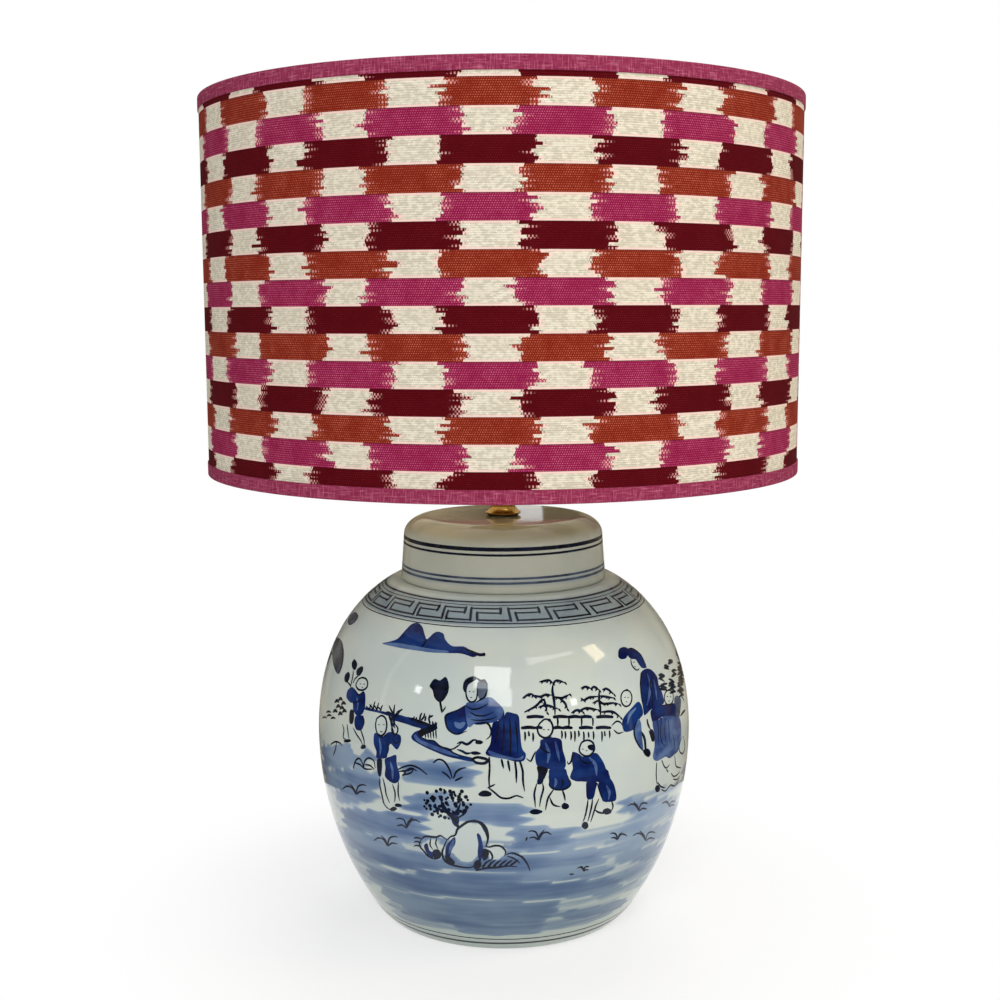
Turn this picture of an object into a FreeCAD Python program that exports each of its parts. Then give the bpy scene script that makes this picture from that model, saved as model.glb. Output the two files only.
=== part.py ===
import FreeCAD, Part

import math
import os

# Ginger jar table lamp: a lidded porcelain jar, a lampholder standing on its lid
# and a fabric drum shade clamped to the holder.
# Millimetres, +Z up, origin at the centre of the felt's underside.
# Heights in each section are counted from the bottom of the piece that the section names.

Vector = FreeCAD.Vector
CENTRE = Vector(0, 0, 0)
UP = Vector(0, 0, 1)

# --- driving dimensions -----------------------------------------------------------------

# general fits
moving_gap = 0.3  # between flat faces of pieces that move apart
running_gap = 0.1  # radial, for a piece that slides on or in another
hole_clearance = 0.2  # radial, for a fixed piece that passes through a hole

# felt under the foot
felt_thickness = 1.0
felt_inset = 2.2

# jar
foot_radius = 86.2
foot_ring_width = 8.0
foot_recess_depth = 7.0
foot_flare = 2.8
floor_thickness = 6.0
belly_radius = 130.4
belly_height = 129.5
ledge_margin = 6.2  # from the lid's rim to the edge of the jar's shoulder
shoulder_slope = 28.5  # degrees below the horizontal where the shoulder meets the ledge
lower_wall_handle = 78.0
upper_wall_handle = 63.8
shoulder_handle = 25.8
ledge_height = 235.5
jar_wall = 5.0
neck_wall = 5.0
neck_height = 25.0
neck_rim_rounding = 2.0

# cord hole and its grommet
cord_hole_height = 31.0
cord_hole_radius = 6.5
cord_bore_radius = 3.75
grommet_flange_radius = 9.0
grommet_flange_thickness = 2.0
grommet_inner_flange = 1.5

# lid
lid_height = 43.1
lid_rim_radius = 71.3
lid_taper = 2.2  # by which the top is narrower than the rim
lid_corner_width = 16.8
lid_corner_height = 12.5
lid_wall = 4.5
neck_clearance = 1.6  # between the jar's neck and the lid's wall at its top
lid_top_thickness = 5.0
lid_rim_rounding = 1.5

# clamp under the neck
clamp_bar_overlap = 10.0  # of each end of the bar under the neck's wall
clamp_bar_width = 20.0
clamp_bar_thickness = 3.0
lock_washer_radius = 9.0
lock_washer_thickness = 1.0
nut_across_flats = 17.0
nut_height = 5.0

# hollow threaded tube
tube_radius = 5.0
tube_bore_radius = 3.9
tube_below_nut = 3.0
tube_in_holder = 10.0

# washer and brass dome on the lid
lid_washer_radius = 10.5
lid_washer_thickness = 1.0
dome_radius = 12.5
dome_top_radius = 8.5
dome_edge = 1.2
dome_height = 6.0

# lampholder, heights from the foot of its lower cap
holder_collar_radius = 7.5
holder_collar_height = 8.0
holder_dome_height = 18.0
holder_cap_height = 30.0
holder_wall = 0.8
sleeve_radius = 19.75
sleeve_bottom = 27.0
sleeve_top = 60.0
seat_height = 38.5
seat_radius = 24.5
seat_thickness = 2.0
thread_ridge = 0.35
thread_pitch = 2.5
grub_screw_radius = 1.5
grub_screw_height = 4.0

# switch inside the lower cap
switch_block_height = 11.0
switch_bar_height = 23.0
switch_bar_radius = 2.2
switch_knob_radius = 3.4
switch_knob_length = 4.0
switch_travel = 5.0
terminal_screw_radius = 1.5
terminal_head_radius = 2.6
terminal_head_height = 1.6
terminal_spacing = 12.0

# socket inside the sleeve
insulator_base_thickness = 5.5
insulator_wall = 3.0
insulator_rim_drop = 2.0
socket_bore_radius = 13.35
socket_ridge = 0.45
socket_wall = 0.4
socket_depth = 21.0
socket_ridge_count = 4
edison_pitch = 3.63
contact_leaf_thickness = 0.5
contact_leaf_width = 5.0
contact_leaf_rise = 2.2
contact_leaf_reach = 8.0

# bulb, heights from its tip contact
bulb_tip_radius = 4.5
bulb_tip_height = 1.5
bulb_cone_top = 4.0
bulb_cone_radius = 9.0
bulb_thread_bottom = 6.0
bulb_thread_gap = 0.2
bulb_thread_depth = 0.9
bulb_skirt_height = 3.0
bulb_cap_wall = 0.4
bulb_radius = 17.5
bulb_length = 100.0
bulb_wide_height = 30.0
bulb_glass_wall = 0.8
bulb_glass_in_cap = 4.0
stem_foot_height = 12.0
stem_height = 44.0
stem_radius = 2.0
stem_button_radius = 4.2
stem_button_height = 2.0
filament_radius = 0.9
filament_count = 4

# drum shade
shade_radius = 200.0
shade_height = 245.0
fabric_thickness = 0.6
liner_thickness = 0.4
seam_lap = 12.0
wire_radius = 1.75
binding_thickness = 0.7
binding_height = 8.5
fitter_recess = 12.4
fitter_bore_clearance = 1.25
fitter_radius = 31.0
fitter_thickness = 1.5
arm_count = 3
arm_turn = 30.0  # degrees from +X to the first arm

# ring that clamps the shade
clamp_ring_flange_radius = 28.5
clamp_ring_flange = 2.0
clamp_ring_collar_radius = 23.0
clamp_ring_height = 9.0
clamp_ring_grip_count = 24
clamp_ring_grip_radius = 0.8

# --- sizes and heights that follow -----------------------------------------------------------------

lid_top_radius = lid_rim_radius - lid_taper
shoulder_radius = lid_rim_radius + ledge_margin
neck_radius = lid_top_radius - lid_wall - neck_clearance
neck_bore = neck_radius - neck_wall
clamp_bar_length = 2 * (neck_bore + clamp_bar_overlap)
foot_bottom = felt_thickness
floor_bottom = foot_bottom + foot_recess_depth
floor_top = floor_bottom + floor_thickness
ledge = foot_bottom + ledge_height
ceiling = ledge - jar_wall
lid_top = ledge + lid_height
clamp_bar_bottom = ceiling - clamp_bar_thickness
lock_washer_bottom = clamp_bar_bottom - lock_washer_thickness
nut_bottom = lock_washer_bottom - nut_height
dome_bottom = lid_top + lid_washer_thickness
holder_bottom = dome_bottom + dome_height
socket_bottom = holder_cap_height + insulator_base_thickness
seat_top = holder_bottom + seat_height
fitter_bottom = seat_top + moving_gap
fitter_top = fitter_bottom + fitter_thickness
clamp_ring_bottom = fitter_top + moving_gap
shade_bottom = fitter_bottom - fitter_recess
shade_top = shade_bottom + shade_height
bulb_bottom = holder_bottom + socket_bottom + contact_leaf_rise + contact_leaf_thickness + moving_gap
tube_hole_radius = tube_radius + hole_clearance
sleeve_bore = sleeve_radius - holder_wall
liner_radius = shade_radius - fabric_thickness
liner_bore = liner_radius - liner_thickness
wire_ring_radius = liner_bore - wire_radius

# --- helpers -----------------------------------------------------------------

QUARTER_HANDLE = 0.5523  # handle length that makes a Bezier curve a quarter of an ellipse
BEZIER_PEAK = 0.75  # how near a bump's top comes to its two raised handles


class Outline:
    """A half-section beside the vertical axis, drawn through (radius, height) points."""

    def __init__(self, radius, height):
        self.start = Vector(radius, 0, height)
        self.here = self.start
        self.edges = []

    def add(self, curve, there):
        self.edges.append(curve.toShape())
        self.here = there
        return self

    def line(self, radius, height):
        there = Vector(radius, 0, height)
        return self.add(Part.LineSegment(self.here, there), there)

    def bezier(self, *points):
        poles = [self.here] + [Vector(radius, 0, height) for radius, height in points]
        return self.add(bezier_through(poles), poles[-1])

    def corner(self, corner_point, end_point):
        """Turns a corner on a quarter of an ellipse."""
        corner = Vector(corner_point[0], 0, corner_point[1])
        end = Vector(end_point[0], 0, end_point[1])
        first = self.here + (corner - self.here) * QUARTER_HANDLE
        second = end + (corner - end) * QUARTER_HANDLE
        return self.add(bezier_through([self.here, first, second, end]), end)

    def spline(self, points):
        curve = Part.BSplineCurve()
        curve.interpolate([self.here] + points)
        return self.add(curve, points[-1])

    def turned(self, degrees=360):
        self.line(self.start.x, self.start.z)
        return Part.Face(Part.Wire(self.edges)).revolve(CENTRE, UP, degrees)


def bezier_through(poles):
    curve = Part.BezierCurve()
    curve.setPoles(poles)
    return curve


def disc(radius, bottom, top):
    return Part.makeCylinder(radius, top - bottom, Vector(0, 0, bottom))


def ring(inner_radius, outer_radius, bottom, top):
    return disc(outer_radius, bottom, top).cut(disc(inner_radius, bottom, top))


def rod(radius, start, end):
    return Part.makeCylinder(radius, (end - start).Length, start, end - start)


def raised(shape, height):
    shape.translate(Vector(0, 0, height))
    return shape


def turned_copies(shape, count, first_angle=0.0):
    """Copies of a shape, evenly spaced about the vertical axis."""
    copies = []
    for index in range(count):
        copy = shape.copy()
        copy.rotate(CENTRE, UP, first_angle + index * 360.0 / count)
        copies.append(copy)
    return copies


def add_ridges(outline, radius, depth, pitch, count, direction=1):
    """Rounded thread ridges one above the other, raised by depth from the radius."""
    handle = radius + depth / BEZIER_PEAK
    for _ in range(count):
        low = outline.here.z
        outline.bezier(
            (handle, low + direction * pitch / 4),
            (handle, low + direction * pitch * 3 / 4),
            (radius, low + direction * pitch),
        )
    return outline


# --- jar, felt and grommet -----------------------------------------------------------------


def lower_wall():
    """Outside of the jar from the foot up to the belly."""
    belly = foot_bottom + belly_height
    return bezier_through([
        Vector(foot_radius, 0, foot_bottom),
        Vector(foot_radius + foot_flare, 0, foot_bottom),
        Vector(belly_radius, 0, belly - lower_wall_handle),
        Vector(belly_radius, 0, belly),
    ])


def upper_wall():
    """Outside of the jar from the belly up to the ledge that the lid stands on."""
    belly = foot_bottom + belly_height
    slope = math.radians(shoulder_slope)
    return bezier_through([
        Vector(belly_radius, 0, belly),
        Vector(belly_radius, 0, belly + upper_wall_handle),
        Vector(
            shoulder_radius + shoulder_handle * math.cos(slope),
            0,
            ledge - shoulder_handle * math.sin(slope),
        ),
        Vector(shoulder_radius, 0, ledge),
    ])


def inward(curve, share):
    """Unit vector from the outside of the wall towards the inside."""
    tangent = curve.tangent(share)[0]
    return Vector(-tangent.z, 0, tangent.x)


def inner_wall_points(steps=8):
    """The outside moved in by the wall, cut off at the floor and at the ceiling."""
    points = []
    for curve in (lower_wall(), upper_wall()):
        for step in range(1, steps + 1):
            share = step / steps
            points.append(curve.value(share) + inward(curve, share) * jar_wall)
    points.insert(0, lower_wall().value(0) + inward(lower_wall(), 0) * jar_wall)
    return clipped(points, floor_top, ceiling)


def clipped(points, low, high):
    """The part of a rising line of points between two heights, with an end on each."""
    kept = []
    for below, above in zip(points, points[1:]):
        for level in (low, high):
            if below.z < level < above.z:
                share = (level - below.z) / (above.z - below.z)
                kept.append(below + (above - below) * share)
        if low < above.z < high:
            kept.append(above)
    return kept


def cord_hole_share():
    """Where on the lower wall's curve the cord hole's centre lies."""
    wall = lower_wall()
    low, high = 0.0, 1.0
    for _ in range(40):
        middle = (low + high) / 2
        if wall.value(middle).z < foot_bottom + cord_hole_height:
            low = middle
        else:
            high = middle
    return low


def through_back_wall(shape):
    """Moves a shape from the vertical axis to the cord hole, its +Z outwards."""
    share = cord_hole_share()
    centre = lower_wall().value(share)
    outwards = inward(lower_wall(), share) * -1
    turn = FreeCAD.Rotation(UP, Vector(0, outwards.x, outwards.z))
    shape.Placement = FreeCAD.Placement(Vector(0, centre.x, centre.z), turn)
    return shape


def jar_body():
    wall_points = inner_wall_points()
    wall_points.reverse()
    neck_top = ledge + neck_height
    rim = neck_rim_rounding
    recess_radius = foot_radius - foot_ring_width
    outline = Outline(0, floor_bottom)
    outline.line(recess_radius, floor_bottom)
    outline.line(recess_radius, foot_bottom)
    outline.line(foot_radius, foot_bottom)
    outline.add(lower_wall(), Vector(belly_radius, 0, foot_bottom + belly_height))
    outline.add(upper_wall(), Vector(shoulder_radius, 0, ledge))
    outline.line(neck_radius, ledge)
    outline.line(neck_radius, neck_top - rim)
    outline.corner((neck_radius, neck_top), (neck_radius - rim, neck_top))
    outline.line(neck_bore + rim, neck_top)
    outline.corner((neck_bore, neck_top), (neck_bore, neck_top - rim))
    outline.line(neck_bore, ceiling)
    outline.line(wall_points[0].x, ceiling)
    outline.spline(wall_points[1:])
    outline.line(0, floor_top)
    hole = disc(cord_hole_radius, -3 * jar_wall, jar_wall)
    return outline.turned().cut(through_back_wall(hole))


def cord_grommet():
    """Rubber bush in the cord hole; its flanges follow the wall on both sides."""
    inner_end = -jar_wall - grommet_inner_flange
    neck = disc(cord_hole_radius, inner_end, grommet_flange_thickness)
    inner_flange = disc(grommet_flange_radius, inner_end, -jar_wall / 2)
    outer_flange = disc(grommet_flange_radius, -jar_wall / 2, grommet_flange_thickness)
    bore = disc(cord_bore_radius, 2 * inner_end, 2 * grommet_flange_thickness)
    bush = neck.fuse([inner_flange, outer_flange]).cut(bore)
    return through_back_wall(bush).cut(jar_body())


def base_felt():
    return disc(foot_radius - felt_inset, 0, felt_thickness)


# --- lid and the clamp that holds it down --------------------------------------------------


def jar_lid():
    rounding = lid_rim_rounding
    rim_bore = lid_rim_radius - lid_wall
    top_bore = lid_top_radius - lid_wall
    under_top = lid_top - lid_top_thickness
    outline = Outline(tube_hole_radius, lid_top)
    outline.line(lid_top_radius - lid_corner_width, lid_top)
    outline.corner((lid_top_radius, lid_top), (lid_top_radius, lid_top - lid_corner_height))
    outline.line(lid_rim_radius, ledge + rounding)
    outline.corner((lid_rim_radius, ledge), (lid_rim_radius - rounding, ledge))
    outline.line(rim_bore + rounding, ledge)
    outline.corner((rim_bore, ledge), (rim_bore, ledge + rounding))
    outline.line(top_bore, lid_top - lid_corner_height)
    outline.corner((top_bore, under_top), (lid_top_radius - lid_corner_width, under_top))
    outline.line(tube_hole_radius, under_top)
    return outline.turned()


def neck_clamp_bar():
    half_length = clamp_bar_length / 2
    corner = Vector(-half_length, -clamp_bar_width / 2, clamp_bar_bottom)
    bar = Part.makeBox(clamp_bar_length, clamp_bar_width, clamp_bar_thickness, corner)
    ends = disc(half_length, clamp_bar_bottom, ceiling)
    return bar.common(ends).cut(disc(tube_hole_radius, clamp_bar_bottom, ceiling))


def hexagon(across_flats, bottom, top):
    """A hexagonal prism about the vertical axis."""
    corner_radius = across_flats / 2 / math.cos(math.radians(30))
    corners = []
    for index in range(7):
        angle = math.radians(60 * index)
        corners.append(Vector(corner_radius * math.cos(angle), corner_radius * math.sin(angle), bottom))
    return Part.Face(Part.makePolygon(corners)).extrude(Vector(0, 0, top - bottom))


def clamp_nut():
    chamfer = nut_height / 5
    nut = hexagon(nut_across_flats, nut_bottom, lock_washer_bottom)
    flat_radius = nut_across_flats / 2
    rounding = Outline(0, nut_bottom)
    rounding.line(flat_radius, nut_bottom)
    rounding.line(flat_radius + 2 * chamfer, nut_bottom + chamfer)
    rounding.line(flat_radius + 2 * chamfer, lock_washer_bottom)
    rounding.line(0, lock_washer_bottom)
    return nut.common(rounding.turned()).cut(disc(tube_radius, nut_bottom, lock_washer_bottom))


def clamp_lock_washer():
    return ring(tube_hole_radius, lock_washer_radius, lock_washer_bottom, clamp_bar_bottom)


def threaded_tube():
    bottom = nut_bottom - tube_below_nut
    return ring(tube_bore_radius, tube_radius, bottom, holder_bottom + tube_in_holder)


def lid_washer():
    return ring(tube_hole_radius, lid_washer_radius, lid_top, dome_bottom)


def brass_dome_washer():
    """Low brass dome whose wide edge rests just above the porcelain."""
    top = holder_bottom
    outline = Outline(tube_hole_radius, dome_bottom)
    outline.line(dome_radius - dome_edge, dome_bottom)
    outline.corner((dome_radius, dome_bottom), (dome_radius, dome_bottom + dome_edge))
    outline.corner((dome_top_radius, dome_bottom + dome_height / 2), (dome_top_radius, top))
    outline.line(tube_hole_radius, top)
    return outline.turned()


# --- lampholder, drawn from its own foot ---------------------------------------------------


def cap_outline(wall):
    """Outside of the lower cap moved in by a wall: collar, shoulder and straight side."""
    side = sleeve_bore - wall
    collar = holder_collar_radius - wall
    shoulder = holder_collar_height + wall
    outline = Outline(0, 0)
    outline.line(collar, 0)
    outline.line(collar, shoulder - holder_wall)
    outline.corner((side, shoulder - holder_wall), (side, holder_dome_height))
    outline.line(side, holder_cap_height)
    outline.line(0, holder_cap_height)
    return outline


def switch_bar_hole(clearance):
    reach = Vector(sleeve_radius + switch_travel, 0, 0)
    height = Vector(0, 0, switch_bar_height)
    return rod(switch_bar_radius + clearance, height - reach, height + reach)


def grub_screw(length):
    start = Vector(0, -tube_radius, grub_screw_height)
    return rod(grub_screw_radius, start, start - Vector(0, length, 0))


def holder_cap():
    """Lower half of the holder: a collar on the tube and a shoulder up to the straight side."""
    solid = cap_outline(0).turned()
    hollow = cap_outline(holder_wall).turned().cut(disc(sleeve_radius, 0, holder_collar_height))
    cap = solid.cut(hollow).cut(disc(tube_radius, 0, tube_in_holder))
    return cap.cut(switch_bar_hole(running_gap)).cut(grub_screw(holder_collar_radius))


def holder_grub_screw():
    return grub_screw(holder_collar_radius - tube_radius + grub_screw_radius / 2)


def terminal_screw_places():
    return [Vector(0, side * terminal_spacing / 2, 0) for side in (-1, 1)]


def terminal_shank(place):
    low = holder_cap_height - switch_block_height
    shank = disc(terminal_screw_radius, low, holder_cap_height - switch_block_height / 5)
    shank.translate(place)
    return shank


def switch_block():
    """Moulded body of the switch, which fills the straight part of the cap."""
    bottom = holder_cap_height - switch_block_height
    block = disc(sleeve_bore - holder_wall - hole_clearance, bottom, holder_cap_height)
    block = block.cut(switch_bar_hole(hole_clearance))
    for place in terminal_screw_places():
        block = block.cut(terminal_shank(place))
    return block


def terminal_screws():
    top = holder_cap_height - switch_block_height
    screws = []
    for place in terminal_screw_places():
        head = disc(terminal_head_radius, top - terminal_head_height, top)
        head.translate(place)
        screws.append(head.fuse(terminal_shank(place)).removeSplitter())
    return Part.makeCompound(screws)


def switch_push_bar():
    """Bar through the cap with a knob on each end, pushed across to switch."""
    side = sleeve_bore + moving_gap
    centre = Vector(0, 0, switch_bar_height)
    near = Vector(-side, 0, 0)
    far = Vector(side + switch_travel, 0, 0)
    knob = Vector(switch_knob_length, 0, 0)
    bar = rod(switch_bar_radius, centre + near, centre + far)
    near_knob = rod(switch_knob_radius, centre + near, centre + near - knob)
    far_knob = rod(switch_knob_radius, centre + far, centre + far + knob)
    return bar.fuse([near_knob, far_knob]).removeSplitter()


def holder_insulator():
    """Porcelain cup that carries the contacts."""
    base_radius = sleeve_bore - hole_clearance
    wall_outside = socket_outside() + insulator_wall
    top = sleeve_top - insulator_rim_drop
    base = disc(base_radius, holder_cap_height, socket_bottom)
    return base.fuse(ring(socket_outside(), wall_outside, socket_bottom, top)).removeSplitter()


def socket_outside():
    return socket_bore_radius + socket_ridge + socket_wall


def contact_shell():
    """Threaded contact that the bulb screws into; its ridges point inwards."""
    ridge_root = socket_bore_radius + socket_ridge
    top = socket_bottom + socket_depth
    plain_end = (socket_depth - socket_ridge_count * edison_pitch) / 2
    outline = Outline(socket_outside(), socket_bottom)
    outline.line(socket_outside(), top)
    outline.line(ridge_root, top)
    outline.line(ridge_root, top - plain_end)
    add_ridges(outline, ridge_root, -socket_ridge, edison_pitch, socket_ridge_count, -1)
    outline.line(ridge_root, socket_bottom)
    return outline.turned()


def centre_contact():
    """Sprung brass leaf: a foot on the insulator, a slope and a flat under the bulb's tip."""
    thick = contact_leaf_thickness
    low = socket_bottom
    high = low + contact_leaf_rise
    flat = contact_leaf_reach / 4
    half_width = contact_leaf_width / 2
    section = [
        (-contact_leaf_reach, low),
        (-contact_leaf_reach + flat, low),
        (-flat, high),
        (flat, high),
        (flat, high + thick),
        (-flat, high + thick),
        (-contact_leaf_reach + flat, low + thick),
        (-contact_leaf_reach, low + thick),
    ]
    corners = [Vector(x, -half_width, z) for x, z in section + section[:1]]
    return Part.Face(Part.makePolygon(corners)).extrude(Vector(0, contact_leaf_width, 0))


def holder_sleeve():
    """Outer brass sleeve with the shade's seat and a thread above it."""
    root = sleeve_radius - thread_ridge
    ridge_count = int((sleeve_top - seat_height) / thread_pitch) - 1
    outline = Outline(sleeve_bore, sleeve_bottom)
    outline.line(sleeve_radius, sleeve_bottom)
    outline.line(sleeve_radius, seat_height - seat_thickness)
    outline.line(seat_radius, seat_height - seat_thickness)
    outline.line(seat_radius, seat_height)
    outline.line(root, seat_height)
    add_ridges(outline, root, thread_ridge, thread_pitch, ridge_count)
    outline.line(root, sleeve_top)
    outline.line(sleeve_bore, sleeve_top)
    return outline.turned()


def lampholder():
    """The holder's pieces by name, raised onto the brass dome."""
    pieces = {
        "holder_cap": holder_cap(),
        "holder_grub_screw": holder_grub_screw(),
        "switch_block": switch_block(),
        "terminal_screws": terminal_screws(),
        "switch_push_bar": switch_push_bar(),
        "holder_insulator": holder_insulator(),
        "contact_shell": contact_shell(),
        "centre_contact": centre_contact(),
        "holder_sleeve": holder_sleeve(),
    }
    return {name: raised(shape, holder_bottom) for name, shape in pieces.items()}


# --- bulb, drawn from its tip contact ------------------------------------------------------


def bulb_thread_radius():
    """Crest of the bulb's thread, which runs inside the socket's ridges."""
    return socket_bore_radius - bulb_thread_gap


def bulb_skirt_bottom():
    return bulb_thread_bottom + socket_ridge_count * edison_pitch


def bulb_screw_cap():
    root = bulb_thread_radius() - bulb_thread_depth
    inside = root - bulb_cap_wall
    top = bulb_skirt_bottom() + bulb_skirt_height
    outline = Outline(bulb_cone_radius, bulb_cone_top)
    outline.line(root, bulb_thread_bottom)
    add_ridges(outline, root, bulb_thread_depth, edison_pitch, socket_ridge_count)
    outline.line(bulb_thread_radius(), top)
    outline.line(bulb_thread_radius() - bulb_cap_wall, top)
    outline.line(inside, bulb_skirt_bottom())
    outline.line(inside, bulb_thread_bottom)
    outline.line(bulb_cone_radius - bulb_cap_wall, bulb_cone_top)
    return outline.turned()


def bulb_cap_insulator():
    """Dark glass cone between the screw cap and the tip contact."""
    inside = bulb_cone_radius - bulb_cap_wall
    outline = Outline(0, bulb_tip_height)
    outline.line(bulb_tip_radius, bulb_tip_height)
    outline.line(bulb_cone_radius, bulb_cone_top)
    outline.line(inside, bulb_cone_top)
    outline.line(inside, bulb_thread_bottom)
    outline.line(0, bulb_thread_bottom)
    return outline.turned()


def bulb_tip_contact():
    outline = Outline(0, 0)
    outline.line(bulb_tip_radius / 3, 0)
    outline.corner((bulb_tip_radius, 0), (bulb_tip_radius, bulb_tip_height))
    outline.line(0, bulb_tip_height)
    return outline.turned()


def bulb_neck_radius():
    return bulb_thread_radius() - bulb_thread_depth - bulb_cap_wall


def glass_body(wall):
    """The bulb's pointed form, moved in by a wall."""
    neck = bulb_neck_radius() - wall
    wide = bulb_radius - wall
    bottom = bulb_skirt_bottom() - bulb_glass_in_cap
    shoulder = bulb_skirt_bottom() + bulb_skirt_height
    widest = shoulder + bulb_wide_height
    top = bulb_length - wall
    third = (top - widest) / 3
    outline = Outline(0, bottom)
    outline.line(neck, bottom)
    outline.line(neck, shoulder)
    outline.bezier((neck, shoulder + bulb_wide_height / 3), (wide, shoulder + bulb_wide_height / 2), (wide, widest))
    outline.bezier((wide, widest + 1.5 * third), (wide / 3, top), (0, top))
    return outline.turned()


def bulb_glass():
    return glass_body(0).cut(glass_body(bulb_glass_wall))


def stem_bottom():
    return bulb_skirt_bottom() - bulb_glass_in_cap


def bulb_stem():
    """Glass stem that closes the bulb's neck and carries the filaments."""
    foot = bulb_neck_radius() - bulb_glass_wall
    low = stem_bottom()
    outline = Outline(0, low)
    outline.line(foot, low)
    outline.corner((stem_button_radius, low), (stem_button_radius, low + stem_foot_height))
    outline.line(stem_radius, low + stem_foot_height)
    outline.line(stem_radius, low + stem_height)
    outline.line(stem_button_radius, low + stem_height)
    outline.line(stem_button_radius, low + stem_height + stem_button_height)
    outline.line(0, low + stem_height + stem_button_height)
    return outline.turned()


def bulb_filaments():
    """Straight light strips between the stem's shoulder and its top button."""
    low = stem_bottom()
    reach = (stem_radius + stem_button_radius) / 2
    strip = rod(
        filament_radius,
        Vector(reach, 0, low + stem_foot_height),
        Vector(reach, 0, low + stem_height),
    )
    return Part.makeCompound(turned_copies(strip, filament_count))


def bulb():
    """The bulb's pieces by name, raised to the centre contact."""
    pieces = {
        "bulb_screw_cap": bulb_screw_cap(),
        "bulb_cap_insulator": bulb_cap_insulator(),
        "bulb_tip_contact": bulb_tip_contact(),
        "bulb_glass": bulb_glass(),
        "bulb_stem": bulb_stem(),
        "bulb_filaments": bulb_filaments(),
    }
    return {name: raised(shape, bulb_bottom) for name, shape in pieces.items()}


# --- shade -----------------------------------------------------------------


def shade_cover():
    """Fabric round the drum, with the lap of its seam at the back."""
    bottom = shade_bottom + binding_thickness
    top = shade_top - binding_thickness
    lap_bottom = shade_bottom + binding_height
    lap_top = shade_top - binding_height
    cloth = ring(liner_radius, shade_radius, bottom, top)
    lap_angle = math.degrees(seam_lap / shade_radius)
    lap = Outline(shade_radius, lap_bottom)
    lap.line(shade_radius + fabric_thickness, lap_bottom)
    lap.line(shade_radius + fabric_thickness, lap_top)
    lap.line(shade_radius, lap_top)
    lap_cloth = lap.turned(lap_angle)
    lap_cloth.rotate(CENTRE, UP, 90)
    return cloth.fuse(lap_cloth)


def shade_liner():
    bottom = shade_bottom + binding_thickness
    return ring(liner_bore, liner_radius, bottom, shade_top - binding_thickness)


def wire_ring(height):
    return Part.makeTorus(wire_ring_radius, wire_radius, Vector(0, 0, height))


def edge_to_wire():
    """From the shade's edge to the middle of its wire ring."""
    return binding_thickness + wire_radius


def shade_arms():
    """Straight wires from the fitter ring down to the bottom ring."""
    fitter_middle = (fitter_bottom + fitter_top) / 2
    start = Vector(fitter_radius, 0, fitter_middle)
    end = Vector(wire_ring_radius, 0, shade_bottom + edge_to_wire())
    arm = rod(wire_radius, start, end)
    arm = arm.cut([shade_fitter_ring(), wire_ring(end.z)])
    return Part.makeCompound(turned_copies(arm, arm_count, arm_turn))


def shade_fitter_ring():
    bore = sleeve_radius + fitter_bore_clearance
    return ring(bore, fitter_radius, fitter_bottom, fitter_top)


def binding(edge, inside):
    """Tape over one edge of the shade: down the outside and round the wire ring.

    The edge is the height of the shade's end and inside is +1 or -1, towards the middle.
    """
    outer = shade_radius + binding_thickness
    wire_inside = wire_ring_radius - wire_radius
    inner = wire_inside - binding_thickness
    face = edge + inside * binding_thickness
    outer_end = edge + inside * binding_height
    inner_end = face + inside * 2 * wire_radius
    outline = Outline(outer, edge)
    outline.line(outer, outer_end)
    outline.line(shade_radius, outer_end)
    outline.line(shade_radius, face)
    outline.line(wire_inside, face)
    outline.line(wire_inside, inner_end)
    outline.line(inner, inner_end)
    outline.line(inner, edge)
    return outline.turned()


def shade():
    """The shade's pieces by name."""
    arms = shade_arms()
    return {
        "shade_cover": shade_cover(),
        "shade_liner": shade_liner(),
        "shade_top_wire": wire_ring(shade_top - edge_to_wire()),
        "shade_bottom_wire": wire_ring(shade_bottom + edge_to_wire()),
        "shade_arms": arms,
        "shade_fitter_ring": shade_fitter_ring(),
        "shade_top_binding": binding(shade_top, -1),
        "shade_bottom_binding": binding(shade_bottom, 1).cut(arms),
    }


def shade_clamp_ring():
    """Ring that screws down the sleeve onto the fitter, with a grooved collar."""
    bore = sleeve_radius + running_gap
    bottom = clamp_ring_bottom
    flange = ring(bore, clamp_ring_flange_radius, bottom, bottom + clamp_ring_flange)
    collar = ring(bore, clamp_ring_collar_radius, bottom, bottom + clamp_ring_height)
    groove = disc(clamp_ring_grip_radius, bottom + clamp_ring_flange, bottom + clamp_ring_height)
    groove.translate(Vector(clamp_ring_collar_radius, 0, 0))
    return flange.fuse(collar).cut(turned_copies(groove, clamp_ring_grip_count)).removeSplitter()


# --- the whole lamp ------------------------------------------------------------------------


def lamp():
    pieces = {
        "base_felt": base_felt(),
        "jar_body": jar_body(),
        "cord_grommet": cord_grommet(),
        "jar_lid": jar_lid(),
        "neck_clamp_bar": neck_clamp_bar(),
        "clamp_lock_washer": clamp_lock_washer(),
        "clamp_nut": clamp_nut(),
        "threaded_tube": threaded_tube(),
        "lid_washer": lid_washer(),
        "brass_dome_washer": brass_dome_washer(),
        "shade_clamp_ring": shade_clamp_ring(),
    }
    pieces.update(lampholder())
    pieces.update(bulb())
    pieces.update(shade())
    return pieces


os.makedirs("parts", exist_ok=True)
for name, shape in lamp().items():
    shape.exportStep(os.path.join("parts", name + ".step"))
    solids = len(shape.Solids)
    print(f"{name}: {solids} solid, {shape.Volume / 1000:.2f} cm3, valid {shape.isValid()}")
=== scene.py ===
import math

import bpy
import numpy as np
from mathutils import Matrix, Vector
from mathutils.geometry import delaunay_2d_cdt


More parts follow.
